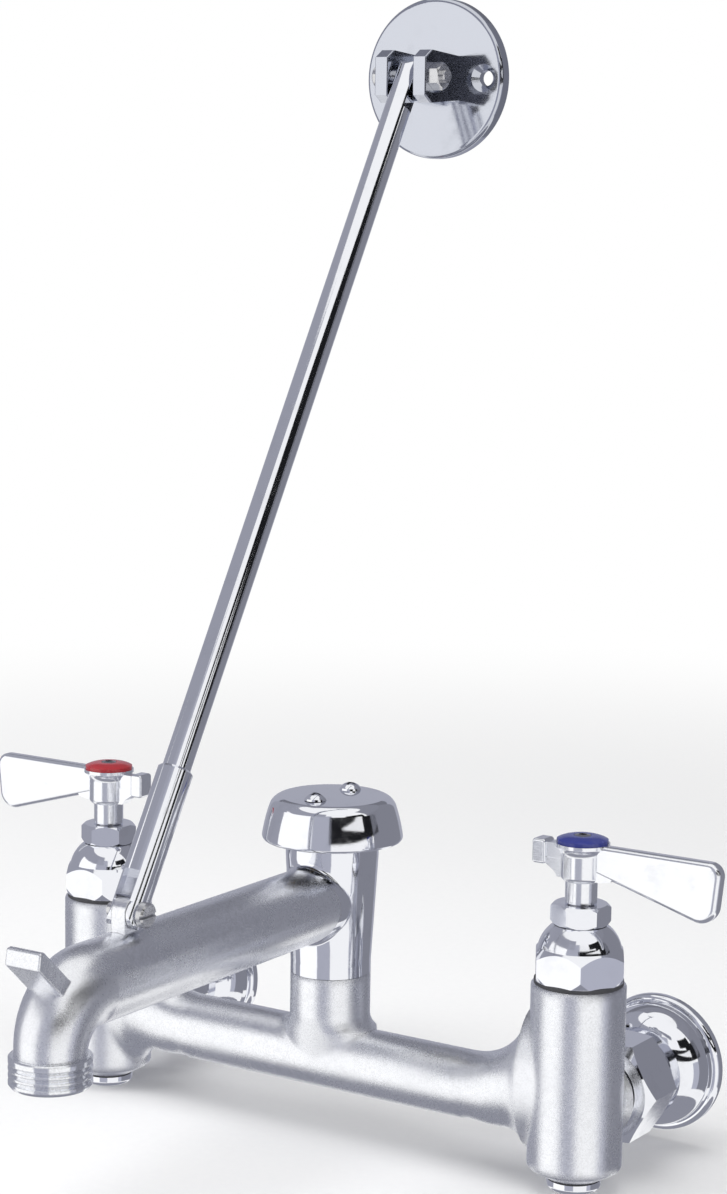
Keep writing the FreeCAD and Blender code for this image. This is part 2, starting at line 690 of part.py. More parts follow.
def retaining_ring(side, sign):
    low = "(neck_top + union_washer + ring_setback + thread_gap)"
    outline = [
        ("ring_groove + thread_gap", low),
        ("ring_radius", low),
        ("ring_radius", f"{low} + ring_section"),
        ("ring_groove + thread_gap", f"{low} + ring_section"),
    ]
    ring = turned(f"{side}_ring_blank", outline)
    split = box(
        f"{side}_ring_split",
        "ring_section",
        "2 * ring_radius",
        "ring_section + 2 * past",
        y="ring_radius",
        z=f"{low} - past",
    )
    return part(f"{side}_retaining_ring", towards_room(cut(f"{side}_split_ring", ring, [split]), sign))


def coupling_nut(side, sign):
    start, end = "union_nut_start", "(union_nut_start + union_nut_length)"
    shoulder = "(neck_top + union_washer + ring_setback + ring_section + 2 * thread_gap)"
    corner = f"(union_nut_flats / 2 * {CORNER})"
    face = "(union_nut_flats / 2 - 0.6)"
    inner = "(neck_radius + thread_gap)"
    outline = [
        (inner, start),
        (face, start),
        (corner, f"{start} + union_nut_chamfer"),
        (corner, f"{end} - union_nut_chamfer"),
        (face, end),
        ("arm_radius + 0.5", end),
        ("arm_radius + 0.5", shoulder),
        (inner, shoulder),
    ]
    blank = nut_blank(f"{side}_union_nut", outline, "union_nut_flats", start, end)
    return part(f"{side}_coupling_nut", towards_room(blank, sign))


# ---------------------------------------------------------------------------------------------------------------
# Valves, each drawn on its own axis with heights above the inlets
# ---------------------------------------------------------------------------------------------------------------
WEB_TOP = "(web_bottom + web_thickness)"
SEAT_TOP = f"({WEB_TOP} + seat_collar + seat_lip)"
HOLDER_FACE = f"({SEAT_TOP} + washer_thickness)"
HOLDER_TOP = f"({HOLDER_FACE} + holder_disc)"
SPINDLE_FOOT = f"({HOLDER_TOP} + near_gap)"
THREAD_TOP = f"({SPINDLE_FOOT} + spindle_thread)"
BACK_SEAT = f"({THREAD_TOP} + stem_lift + near_gap)"
BONNET_FOOT = "(barrel_top + gasket_thickness)"
HEX_TOP = f"({BONNET_FOOT} + bonnet_hex)"
GUIDE = "(spindle_radius + shaft_gap)"
PACKING_TOP = "(box_top + 0.1)"
NUT_TOP = f"({PACKING_TOP} + packing_nut_cap)"


def on_valve(label, thing, sign):
    return part(label, place(thing, x=valve_x(sign), y=VALVE_Y))


def bottom_plug(side, sign):
    top = "-(barrel_bottom + barrel_cone + plug_seal)"
    outline = [
        ("0", f"{top} - plug_head"),
        ("plug_head_radius - 1.8", f"{top} - plug_head"),
        ("plug_head_radius", f"{top} - plug_head + 1.8", "1.9", -1),
        ("plug_head_radius", top),
        ("plug_thread_radius - thread_gap", top),
        ("plug_thread_radius - thread_gap", f"{top} + plug_thread"),
        ("0", f"{top} + plug_thread"),
    ]
    head = turned(f"{side}_plug_blank", outline)
    slot = box(f"{side}_plug_slot", "8.4", "1.6", "1.4", z=f"{top} - plug_head - 0.2")
    return on_valve(f"{side}_bottom_plug", cut(f"{side}_plug", head, [slot]), sign)


def plug_seal(side, sign):
    top = "-(barrel_bottom + barrel_cone)"
    outline = [
        ("plug_thread_radius + thread_gap", f"{top} - plug_seal"),
        ("plug_head_radius - 0.4", f"{top} - plug_seal"),
        ("plug_head_radius - 0.4", top),
        ("plug_thread_radius + thread_gap", top),
    ]
    return on_valve(f"{side}_plug_seal", turned(f"{side}_plug_washer", outline), sign)


def valve_seat(side, sign):
    thread = "seat_thread_radius - thread_gap"
    outline = [
        ("seat_bore", "web_bottom"),
        (thread, "web_bottom"),
        (thread, WEB_TOP),
        ("seat_collar_radius", WEB_TOP),
        ("seat_collar_radius", f"{WEB_TOP} + seat_collar"),
        ("seat_lip_radius + 0.4", f"{WEB_TOP} + seat_collar"),
        ("seat_lip_radius", SEAT_TOP),
        ("seat_bore", SEAT_TOP),
    ]
    return on_valve(f"{side}_valve_seat", turned(f"{side}_seat", outline), sign)


def seat_washer(side, sign):
    outline = [
        ("washer_screw_radius + 0.1", SEAT_TOP),
        ("washer_radius", SEAT_TOP),
        ("washer_radius", HOLDER_FACE),
        ("washer_screw_radius + 0.1", HOLDER_FACE),
    ]
    return on_valve(f"{side}_seat_washer", turned(f"{side}_washer", outline), sign)


def washer_screw(side, sign):
    low = f"({SEAT_TOP} - 1.7)"
    outline = [
        ("0", low),
        ("washer_screw_head - 0.7", low),
        ("washer_screw_head", f"{low} + 0.7", "0.8", -1),
        ("washer_screw_head", SEAT_TOP),
        ("washer_screw_radius", SEAT_TOP),
        ("washer_screw_radius", f"{HOLDER_FACE} + washer_screw_length"),
        ("0", f"{HOLDER_FACE} + washer_screw_length"),
    ]
    return on_valve(f"{side}_washer_screw", turned(f"{side}_small_screw", outline), sign)


def washer_holder(side, sign):
    tapped = "washer_screw_radius + thread_gap"
    depth = f"({HOLDER_FACE} + washer_screw_length + 0.5)"
    pin_top = f"({HOLDER_TOP} + holder_pin)"
    outline = [
        (tapped, HOLDER_FACE),
        ("washer_radius + 0.1", HOLDER_FACE),
        ("washer_radius + 0.1", f"{HOLDER_FACE} - holder_skirt"),
        ("holder_radius", f"{HOLDER_FACE} - holder_skirt"),
        ("holder_radius", HOLDER_TOP),
        ("holder_pin_radius", HOLDER_TOP),
        ("holder_pin_radius", pin_top),
        ("0", pin_top),
        ("0", depth),
        (tapped, depth),
    ]
    return on_valve(f"{side}_washer_holder", turned(f"{side}_holder", outline), sign)


def spindle(side, sign):
    hollow = "holder_pin_radius + shaft_gap"
    socket = "(spindle_top - socket_depth + 0.1)"
    tapped = "handle_screw_radius"
    outline = [
        (hollow, SPINDLE_FOOT),
        ("spindle_thread_radius", SPINDLE_FOOT),
        ("spindle_thread_radius", THREAD_TOP),
        ("spindle_radius", THREAD_TOP),
        ("spindle_radius", socket),
        ("spindle_end_radius", socket),
        ("spindle_end_radius", "spindle_top"),
        (f"{tapped} + thread_gap", "spindle_top"),
        (f"{tapped} + thread_gap", "spindle_top - handle_screw_depth"),
        ("0", "spindle_top - handle_screw_depth"),
        ("0", f"{HOLDER_TOP} + holder_pin + near_gap"),
        (hollow, f"{HOLDER_TOP} + holder_pin + near_gap"),
    ]
    blank = turned(f"{side}_spindle_blank", outline)
    keep = joined(
        f"{side}_spindle_keep",
        [
            flatted(f"{side}_spindle_end", "0", socket, "spindle_top"),
            rod(f"{side}_spindle_round", "spindle_thread_radius", socket),
        ],
    )
    return on_valve(f"{side}_spindle", common(f"{side}_stem", blank, keep), sign)


def flatted(name, gap, low, high):
    """The spindle's end with its two flats, larger all round by a gap."""
    bar = rod(f"{name}_round", f"spindle_end_radius + {gap}", f"({high}) - ({low})", z=low)
    flats = box(
        f"{name}_flats",
        "3 * spindle_end_radius",
        f"2 * (spindle_flat + {gap})",
        f"({high}) - ({low})",
        z=low,
    )
    return common(name, bar, flats)


def bonnet_gasket(side, sign):
    outline = [
        ("bonnet_thread_radius + thread_gap", "barrel_top"),
        ("gasket_radius", "barrel_top"),
        ("gasket_radius", BONNET_FOOT),
        ("bonnet_thread_radius + thread_gap", BONNET_FOOT),
    ]
    return on_valve(f"{side}_bonnet_gasket", turned(f"{side}_gasket", outline), sign)


def bonnet(side, sign):
    corner = f"(bonnet_flats / 2 * {CORNER})"
    thread = "bonnet_thread_radius - thread_gap"
    inner = "spindle_thread_radius + shaft_gap"
    foot = "(barrel_top - bonnet_thread_depth + 0.6)"
    floor = "(box_top - box_depth)"
    outline = [
        (inner, foot),
        (f"{thread} - 1.2", foot),
        (thread, f"{foot} + 1.2"),
        (thread, BONNET_FOOT),
        (f"{corner} - 1.5", BONNET_FOOT),
        (corner, f"{BONNET_FOOT} + bonnet_chamfer * 0.8"),
        (corner, f"{HEX_TOP} - bonnet_chamfer"),
        ("dome_base_radius", HEX_TOP),
        ("dome_top_radius", "dome_top", "dome_bend", -1),
        ("box_radius", "dome_top"),
        ("box_radius", "box_top"),
        ("box_bore", "box_top"),
        ("box_bore", floor),
        (GUIDE, floor),
        (GUIDE, BACK_SEAT),
        (inner, BACK_SEAT),
    ]
    blank = nut_blank(f"{side}_hex_bonnet", outline, "bonnet_flats", f"{foot} - past", "box_top + past")
    return on_valve(f"{side}_bonnet", blank, sign)


def packing(side, sign):
    floor = "(box_top - box_depth)"
    outline = [
        (GUIDE, floor),
        ("box_bore - thread_gap", floor),
        ("box_bore - thread_gap", PACKING_TOP),
        (GUIDE, PACKING_TOP),
    ]
    return on_valve(f"{side}_packing", turned(f"{side}_packing_ring", outline), sign)


def packing_nut(side, sign):
    corner = f"(packing_nut_flats / 2 * {CORNER})"
    low = "(dome_top + 0.2)"
    inner = "box_radius + thread_gap"
    bore = "spindle_radius + 0.15"
    outline = [
        (inner, low),
        (f"{corner} - 1.3", low),
        (corner, f"{low} + packing_nut_chamfer"),
        (corner, f"{NUT_TOP} - packing_nut_chamfer"),
        (f"{corner} - 1.3", NUT_TOP),
        (bore, NUT_TOP),
        (bore, PACKING_TOP),
        (inner, PACKING_TOP),
    ]
    blank = nut_blank(f"{side}_gland_nut", outline, "packing_nut_flats", low, NUT_TOP, "packing_nut_turn")
    return on_valve(f"{side}_packing_nut", blank, sign)


# ---------------------------------------------------------------------------------------------------------------
# Levers, drawn pointing along +X
# ---------------------------------------------------------------------------------------------------------------
def lever_hub(side):
    skirt_foot = f"({NUT_TOP} + near_gap)"
    socket = "(spindle_top - socket_depth)"
    bore = "spindle_radius + thread_gap"
    outline = [
        (bore, skirt_foot),
        ("skirt_radius", skirt_foot),
        ("skirt_radius", "hub_bottom"),
        ("hub_radius", "hub_bottom + 1.8", "2.4", -1),
        ("hub_radius", "hub_floor - 3.2"),
        ("hub_rim_radius", "hub_floor - 0.2", "4.2", 1),
        ("hub_rim_radius", "hub_floor + hub_rim"),
        ("ring_outer_radius + 0.1", "hub_floor + hub_rim"),
        ("ring_outer_radius + 0.1", "hub_floor"),
        ("handle_screw_radius + 0.3", "hub_floor"),
        ("handle_screw_radius + 0.3", socket),
        (bore, socket),
    ]
    return turned(f"{side}_hub", outline)


def lever_blade(side):
    """The long wing: wider towards its rounded end."""
    inside = "hub_radius - 2"
    low = "(blade_top - blade_root_height)"
    fall = "((blade_tip_height - blade_root_height) / (blade_length - blade_rake - blade_notch))"
    blade = slab(
        f"{side}_blade",
        "XZ_Plane",
        [
            (inside, f"{low} + (blade_notch - ({inside})) * {fall}"),
            ("blade_length - blade_rake", "blade_top - blade_tip_height"),
            ("blade_length", "blade_top"),
            (inside, "blade_top"),
        ],
        "blade_thickness",
    )
    half = num("blade_top - blade_tip_height / 2")
    ends = num("blade_length") * 0.8
    soften(blade, f"{side}_low_corner", "blade_low_corner", lambda e: is_across(e, ends) and e.BoundBox.ZMin < half)
    soften(blade, f"{side}_top_corner", "blade_corner", lambda e: is_across(e, ends) and e.BoundBox.ZMin > half)
    soften(blade, f"{side}_blade_rounding", "blade_edge", lambda e: is_rim(e, "blade_thickness"))
    return blade


def lever_stub(side):
    """The short wing: a neck and an end block, and the foot that runs under both wings."""
    inside = "hub_radius - 2"
    neck_end = "(stub_length - stub_block)"
    neck = slab(
        f"{side}_stub_neck",
        "XZ_Plane",
        [
            (f"-{neck_end} - 1", "blade_top - 1.2"),
            (f"-{neck_end} - 1", "blade_top - 1.2 - stub_neck_height"),
            (f"-({inside})", "blade_top - 1.2 - stub_neck_height"),
            (f"-({inside})", "blade_top - 1.2"),
        ],
        "blade_thickness * 0.8",
    )
    block = slab(
        f"{side}_stub_block",
        "XZ_Plane",
        [
            ("-stub_length", "blade_top - 0.3"),
            ("-stub_length", "blade_top - stub_height"),
            (f"-{neck_end}", "blade_top - stub_height"),
            (f"-{neck_end}", "blade_top - 0.3"),
        ],
        "stub_thickness",
    )
    soften(block, f"{side}_stub_corners", "blade_edge * 0.6", is_across)
    soften(block, f"{side}_stub_rounding", "blade_edge * 0.45", lambda e: is_rim(e, "stub_thickness"))
    foot = slab(
        f"{side}_wing_foot",
        "XZ_Plane",
        [
            (f"-{neck_end} - 1", "blade_top - stub_neck_height"),
            (f"-{neck_end} - 1", "blade_top - stub_height + 0.9"),
            (f"-{neck_end} + 3.2", "blade_top - stub_height - 2"),
            ("-(hub_radius + 0.9)", "blade_foot"),
            ("hub_radius + 1", "blade_foot"),
            ("blade_notch", "blade_top - blade_root_height"),
            ("blade_notch + 2", "blade_top - stub_neck_height"),
        ],
        "blade_thickness * 0.9",
    )
    return [neck, block, foot]


def lever(side, sign):
    solid = joined(f"{side}_wings", [lever_hub(side), lever_blade(side)] + lever_stub(side))
    clear = [
        rod(f"{side}_hub_bore", "spindle_radius + thread_gap", "spindle_top - socket_depth", z="0"),
        flatted(f"{side}_hub_socket", "thread_gap", "spindle_top - socket_depth", "spindle_top + 0.1"),
        rod(f"{side}_hub_recess", "ring_outer_radius + 0.1", "ring_crown + past", z="hub_floor"),
    ]
    piece = cut(f"{side}_lever_body", solid, clear)
    turn = "0" if sign > 0 else "180"
    place(piece, x=valve_x(sign), y=VALVE_Y, axis=(0, 0, 1), angle=turn)
    return part(f"{side}_lever", piece)


def is_across(edge, beyond=-math.inf):
    """True for an edge that runs along Y past the given X."""
    return edge.BoundBox.YLength > 1 and edge.BoundBox.XMin > beyond


def is_rim(edge, thickness, axis="Y"):
    """True for the edges that run round the two faces of a slab that is thick along an axis."""
    places = [getattr(vertex, axis) for vertex in edge.Vertexes]
    half = num(thickness) / 2
    return all(abs(abs(place) - half) < 1e-4 for place in places) and abs(places[0] - places[-1]) < 1e-4


def soften(body, name, radius, wanted):
    """Round the chosen edges of a body's last feature."""
    doc.recompute()
    base = body.Tip
    names = [f"Edge{n}" for n, edge in enumerate(base.Shape.Edges, start=1) if wanted(edge)]
    rounding = body.newObject("PartDesign::Fillet", name)
    rounding.Base = (base, names)
    bind(rounding, Radius=radius)
    body.Tip = rounding
    return body


def index_ring(side, sign):
    outline = [
        ("ring_inner_radius", "hub_floor"),
        ("ring_outer_radius", "hub_floor"),
        ("ring_outer_radius", "hub_floor + ring_edge"),
        ("ring_inner_radius", "hub_floor + ring_crown", "ring_bend", -1),
    ]
    return on_valve(f"{side}_index_ring", turned(f"{side}_colour_ring", outline), sign)


def handle_screw(side, sign):
    top = "(hub_floor + screw_head)"
    outline = [
        ("0", "spindle_top - handle_screw_depth + 1"),
        ("handle_screw_radius", "spindle_top - handle_screw_depth + 1"),
        ("handle_screw_radius", "hub_floor"),
        ("screw_head_radius", "hub_floor"),
        ("screw_head_radius", f"{top} - 0.4"),
        ("0", top, "screw_head_bend", -1),
    ]
    head = turned(f"{side}_screw_blank", outline)
    recess = hexagon(f"{side}_screw_recess", "screw_key", f"{top} - screw_key_depth", f"{top} + past")
    return on_valve(f"{side}_handle_screw", cut(f"{side}_screw", head, [recess]), sign)


# ---------------------------------------------------------------------------------------------------------------
# Vacuum breaker
# ---------------------------------------------------------------------------------------------------------------
AIR_LOW = "(breaker_top - air_seat_depth)"
AIR_TOP = "(breaker_top + air_seat_stand)"
FLOAT_FOOT = "(breaker_floor + inlet_lip)"
SEAL_TOP = f"({AIR_LOW} - air_lip - float_lift - 0.2)"


def on_post(label, thing):
    return part(label, place(thing, y=VALVE_Y))


def vacuum_breaker():
    tail = "tail_radius - thread_gap"
    outline = [
        ("0", "post_top - tail_depth + 0.5"),
        (tail, "post_top - tail_depth + 0.5"),
        (tail, "post_top + breaker_seal"),
        ("breaker_seal_radius + 0.1", "post_top + breaker_seal"),
        ("breaker_seal_radius + 0.1", "post_top + 0.2"),
        ("post_radius", "post_top + 0.2"),
        ("post_radius", "breaker_taper_low"),
        ("breaker_radius", "breaker_taper_high"),
        ("breaker_radius", "breaker_top"),
        ("0", "breaker_top"),
    ]
    shell = turned("breaker_shell", outline)
    boss = rod(
        "breaker_boss",
        "boss_radius",
        "breaker_radius + boss_stand + 5",
        z="spout_height",
        axis=(1, 0, 0),
        angle="90",
    )
    rounded = doc.addObject("Part::Fillet", "breaker_boss_root")
    rounded.Base = joined("breaker_with_boss", [shell, boss])
    doc.recompute()
    seams = enumerate(rounded.Base.Shape.Edges, start=1)
    roots = [index for index, edge in seams if edge.Curve.TypeId == "Part::GeomBSplineCurve"]
    rounded.Edges = [(index, num("boss_fillet"), num("boss_fillet")) for index in roots]
    doc.recompute()
    face = rod("breaker_boss_face", "breaker_radius + boss_stand", "through")
    trimmed = common("breaker_trimmed", rounded, face)
    chamber = turned(
        "breaker_chamber",
        [
            ("0", "post_top - tail_depth"),
            ("breaker_inlet", "post_top - tail_depth"),
            ("breaker_inlet", FLOAT_FOOT),
            ("inlet_lip_radius", FLOAT_FOOT),
            ("inlet_lip_radius + 0.5", "breaker_floor"),
            ("breaker_chamber_radius", "breaker_floor"),
            ("breaker_chamber_radius", AIR_LOW),
            ("air_thread_radius", AIR_LOW),
            ("air_thread_radius", "breaker_top + past"),
            ("0", "breaker_top + past"),
        ],
    )
    port = rod(
        "breaker_port",
        "spout_tail_radius + thread_gap",
        "breaker_radius + boss_stand + 6",
        z="spout_height",
        axis=(1, 0, 0),
        angle="90",
    )
    return on_post("breaker_body", cut("breaker", trimmed, [chamber, port]))


def breaker_seal():
    outline = [
        ("tail_radius + thread_gap", "post_top"),
        ("breaker_seal_radius", "post_top"),
        ("breaker_seal_radius", "post_top + breaker_seal"),
        ("tail_radius + thread_gap", "post_top + breaker_seal"),
    ]
    return on_post("breaker_seal", turned("breaker_washer", outline))


def breaker_float():
    head_low = f"({SEAL_TOP} - float_seal - float_head)"
    head_top = f"({SEAL_TOP} - float_seal)"
    outline = [
        ("0", FLOAT_FOOT),
        ("float_disc_radius - 0.6", FLOAT_FOOT),
        ("float_disc_radius", f"{FLOAT_FOOT} + 0.6"),
        ("float_disc_radius", f"{FLOAT_FOOT} + float_disc"),
        ("float_stem_radius", f"{FLOAT_FOOT} + float_disc + 2"),
        ("float_stem_radius", f"{head_low} - 2"),
        ("float_seal_radius", head_low),
        ("float_seal_radius", head_top),
        ("float_pin_radius", head_top),
        ("float_pin_radius", f"{head_top} + float_pin - 1"),
        ("float_pin_radius - 1", f"{head_top} + float_pin"),
        ("0", f"{head_top} + float_pin"),
    ]
    return on_post("breaker_float", turned("float", outline))


def float_seal():
    low = f"({SEAL_TOP} - float_seal)"
    outline = [
        ("float_pin_radius + thread_gap", low),
        ("float_seal_radius", low),
        ("float_seal_radius", SEAL_TOP),
        ("float_pin_radius + thread_gap", SEAL_TOP),
    ]
    return on_post("float_seal", turned("float_washer", outline))


def air_seat():
    thread = "air_thread_radius - thread_gap"
    ring = turned(
        "air_seat_ring",
        [
            ("air_port", f"{AIR_LOW} - air_lip"),
            ("air_port + 1.4", f"{AIR_LOW} - air_lip"),
            ("air_port + 2.4", AIR_LOW),
            (thread, AIR_LOW),
            (thread, AIR_TOP),
            (f"{thread} - 3.4", AIR_TOP),
            (f"{thread} - 3.4", f"{AIR_LOW} + air_ring"),
            ("air_port", f"{AIR_LOW} + air_ring"),
        ],
    )
    hub = turned(
        "air_seat_hub",
        [
            ("float_pin_radius + shaft_gap", AIR_LOW),
            ("air_hub_radius", AIR_LOW),
            ("air_hub_radius", f"{AIR_LOW} + air_hub"),
            ("float_pin_radius + shaft_gap", f"{AIR_LOW} + air_hub"),
        ],
    )
    arms = []
    reach = "(air_port + 1 - (float_pin_radius + air_hub_radius) / 2)"
    for index in range(SPOKES):
        angle = 360 * index / SPOKES
        arm = doc.addObject("Part::Box", f"air_spoke_{index}")
        bind(arm, Length=reach, Width="spoke_width", Height="air_ring - 1")
        start = "(float_pin_radius + air_hub_radius) / 2"
        place(
            arm,
            x=f"cos({angle} deg) * {start} + sin({angle} deg) * spoke_width / 2",
            y=f"sin({angle} deg) * {start} - cos({angle} deg) * spoke_width / 2",
            z=AIR_LOW,
            axis=(0, 0, 1),
            angle=str(angle),
        )
        arms.append(arm)
    posts = []
    for index, face in enumerate((-1, 1)):
        where = f"{face} * cap_post_circle"
        high = "cap_top - cap_wall"
        mast = rod(f"air_post_{index}", "cap_post_radius", f"{high} - {AIR_TOP}", y=where, z=AIR_TOP)
        hole = rod(
            f"air_post_hole_{index}",
            "cap_screw_radius + thread_gap",
            "cap_screw_length + past",
            y=where,
            z=f"{high} - cap_screw_length - 0.5",
        )
        posts.append((mast, hole))
    solid = joined("air_seat_solid", [ring, hub] + arms + [mast for mast, _ in posts])
    return on_post("breaker_air_seat", cut("air_seat", solid, [hole for _, hole in posts]))


def breaker_cap():
    wall = "cap_wall"
    outline = [
        ("0", f"cap_top - {wall}"),
        ("cap_flat_radius", f"cap_top - {wall}"),
        (f"cap_shoulder_radius - {wall}", "cap_top - cap_shoulder - 0.8", "cap_inner_bend", 1),
        (f"cap_radius - {wall}", "cap_bottom + 1.6"),
        ("cap_radius - 1.2", "cap_bottom"),
        ("cap_radius - 0.6", "cap_bottom"),
        ("cap_radius", "cap_bottom + 1.4", "1.6", -1),
        ("cap_shoulder_radius", "cap_top - cap_shoulder", "cap_side_bend", -1),
        ("cap_flat_radius", "cap_top - 0.35", "cap_shoulder_bend", -1),
        ("2", "cap_top", "cap_crown_bend", -1),
        ("0", "cap_top"),
    ]
    bell = turned("cap_bell", outline)
    holes = []
    for index, face in enumerate((-1, 1)):
        holes.append(
            rod(
                f"cap_hole_{index}",
                "cap_screw_radius + 0.2",
                "cap_wall + 4",
                y=f"{face} * cap_post_circle",
                z="cap_top - cap_wall - 2",
            )
        )
    return on_post("breaker_cap", cut("cap", bell, holes))


def cap_screws():
    seat = "cap_top"
    foot = "(cap_top - cap_wall - cap_screw_length)"
    outline = [
        ("0", foot),
        ("cap_screw_radius", foot),
        ("cap_screw_radius", seat),
        ("cap_screw_head_radius", seat),
        ("cap_screw_head_radius - 0.2", f"{seat} + 0.7"),
        ("0", f"{seat} + cap_screw_head", "4.6", -1),
    ]
    pair = []
    for index, face in enumerate((-1, 1)):
        blank = turned(f"cap_screw_blank_{index}", outline)
        high = f"{seat} + cap_screw_head"
        slot = {"height": "cap_cross_depth + past", "z": f"{high} - cap_cross_depth"}
        across = box(f"cap_cross_a_{index}", "cap_cross_length", "cap_cross_width", **slot)
        along = box(f"cap_cross_b_{index}", "cap_cross_width", "cap_cross_length", **slot)
        screw = cut(f"cap_screw_{index}", blank, [across, along])
        pair.append(place(screw, y=f"{face} * cap_post_circle"))
    group = doc.addObject("Part::Compound", "cap_screw_pair")
    group.Links = pair
    return on_post("breaker_cap_screws", group)


# ---------------------------------------------------------------------------------------------------------------
# Spout
# ---------------------------------------------------------------------------------------------------------------
OUTLET_Y = "-(wall_to_valve + spout_reach)"
ELBOW_Y = f"({OUTLET_Y} + elbow_radius)"
ELBOW_Z = "(spout_height - elbow_radius)"
LUG_Y = "-(wall_to_valve + lug_reach)"
LUG_Z = "(spout_height + spout_radius + lug_clear + fork_end_radius)"


def elbow(name, start, end):
    """Circles along a quarter bend whose radius changes evenly from start to end."""
    rings = []
    for index in range(ELBOW_STEPS + 1):
        share = index / ELBOW_STEPS
        turn = 90 * share
        ring = doc.addObject("Part::Circle", f"{name}_ring_{index}")
        bind(ring, Radius=f"({start}) + (({end}) - ({start})) * {share}")
        place(
            ring,
            y=f"{ELBOW_Y} - elbow_radius * sin({turn} deg)",
            z=f"{ELBOW_Z} + elbow_radius * cos({turn} deg)",
            axis=(1, 0, 0),
            angle=str(90 + turn),
        )
        rings.append(ring)
    return loft(name, rings)


def along_spout(name, radius, start, end):
    """A round bar on the spout's axis between two distances from the valve axes."""
    return rod(
        name,
        radius,
        f"({end}) - ({start})",
        y=f"-wall_to_valve - ({start})",
        z="spout_height",
        axis=(1, 0, 0),
        angle="90",
    )


def hose_outline():
    corners = [("0", f"{ELBOW_Z} + 0.5"), ("outlet_neck_radius", f"{ELBOW_Z} + 0.5")]
    corners.append(("outlet_neck_radius", "hose_top"))
    corners.append(("hose_radius - 0.5", "hose_top"))
    corners.append(("hose_radius", "hose_top - 0.5"))
    for groove in range(HOSE_GROOVES):
        high = f"(hose_top - hose_land - {groove} * hose_pitch)"
        corners.append(("hose_radius", high))
        corners.append(("hose_radius - hose_depth", f"{high} - 0.28 * hose_pitch"))
        corners.append(("hose_radius - hose_depth", f"{high} - 0.42 * hose_pitch"))
        corners.append(("hose_radius", f"{high} - 0.7 * hose_pitch"))
    corners.append(("hose_radius", "outlet_face + hose_lead"))
    corners.append(("hose_radius - 0.8 * hose_lead", "outlet_face"))
    corners.append(("0", "outlet_face"))
    return corners


def pail_hook():
    """A flat prong that leans forward over the elbow."""
    half = "hook_thickness / 2"
    hook = slab(
        "hook_prong",
        "XZ_Plane",
        [
            ("0", f"-{half}"),
            ("hook_length - 1.3 * hook_chamfer", f"-{half}"),
            ("hook_length", "hook_thickness / 4"),
            ("hook_length - 0.6 * hook_chamfer", half),
            ("0", half),
        ],
        "hook_width",
    )
    tip = num("hook_length") * 0.8
    soften(hook, "hook_corners", "hook_corner", lambda e: is_across(e, tip))
    soften(hook, "hook_rounding", "hook_edge", lambda e: e.BoundBox.XMax > tip and is_rim(e, "hook_width"))
    forward = FreeCAD.Rotation(Vector(0, 0, 1), -90)
    hook.Placement.Rotation = forward.multiply(FreeCAD.Rotation(Vector(0, 1, 0), -num("hook_angle")))
    return place(hook, y=f"{OUTLET_Y} + hook_back", z="hook_root")


def brace_lug():
    """An upright ear on the spout's back, rounded over its hole."""
    ear = rod(
        "lug_ear",
        "lug_radius",
        "lug_thickness",
        x="-lug_thickness / 2",
        y=LUG_Y,
        z=LUG_Z,
        axis=(0, 1, 0),
        angle="90",
    )
    foot = box(
        "lug_foot",
        "lug_thickness",
        "2 * lug_radius",
        f"{LUG_Z} - spout_height - spout_radius + 3",
        y=LUG_Y,
        z="spout_height + spout_radius - 3",
    )
    return [ear, foot]


def spout():
    tube = along_spout("spout_tube", "spout_radius", "0", "spout_reach - elbow_radius")
    saddle = rod("spout_saddle", "breaker_radius + boss_stand", "through", y=VALVE_Y)
    coped = cut("spout_coped", tube, [saddle])
    tail = along_spout("spout_tail", "spout_tail_radius", "spout_tail_end", "breaker_radius + boss_stand + 4")
    bend = elbow("spout_elbow", "spout_radius", "outlet_neck_radius")
    nozzle = place(turned("spout_nozzle", hose_outline()), y=OUTLET_Y)
    solid = joined("spout_solid", [coped, tail, bend, nozzle, pail_hook()] + brace_lug())
    groove = turned(
        "tail_groove",
        [
            ("spout_tail_radius - tail_seal_groove", "tail_seal_place"),
            ("spout_tail_radius + 0.02", "tail_seal_place"),
            ("spout_tail_radius + 0.02", "tail_seal_place + tail_seal_width"),
            ("spout_tail_radius - tail_seal_groove", "tail_seal_place + tail_seal_width"),
        ],
    )
    place(groove, y=VALVE_Y, z="spout_height", axis=(1, 0, 0), angle="90")
    hollows = [
        along_spout("spout_passage", "spout_bore", "0", "spout_reach - elbow_radius"),
        elbow("elbow_passage", "spout_bore", "spout_bore"),
        rod("outlet_passage", "spout_bore", f"{ELBOW_Z} - outlet_face + past", y=OUTLET_Y, z="outlet_face - past"),
        groove,
        rod(
            "lug_hole",
            "pivot_radius + shaft_gap",
            "lug_thickness + 2 * past",
            x="-lug_thickness / 2 - past",
            y=LUG_Y,
            z=LUG_Z,
            axis=(0, 1, 0),
            angle="90",
        ),
    ]
    return part("spout", cut("spout_casting", solid, hollows))


def spout_seal():
    outline = [
        ("spout_tail_radius - tail_seal_groove + thread_gap", "tail_seal_place + thread_gap"),
        ("spout_tail_radius", "tail_seal_place + thread_gap"),
        ("spout_tail_radius", "tail_seal_place + tail_seal_width - thread_gap"),
        (
            "spout_tail_radius - tail_seal_groove + thread_gap",
            "tail_seal_place + tail_seal_width - thread_gap",
        ),
    ]
    ring = turned("spout_ring", outline)
    return part("spout_seal", place(ring, y=VALVE_Y, z="spout_height", axis=(1, 0, 0), angle="90"))


# ---------------------------------------------------------------------------------------------------------------
# Brace, drawn upright from the lower pivot and then leaned towards the wall
# ---------------------------------------------------------------------------------------------------------------
BRACE_RUN = "(wall_to_valve + lug_reach - pivot_off_wall)"
BRACE_RISE = f"(brace_height - {LUG_Z})"
LEAN = f"-atan({BRACE_RUN} / {BRACE_RISE})"
BRACE_LENGTH = f"sqrt({BRACE_RUN} ^ 2 + {BRACE_RISE} ^ 2)"


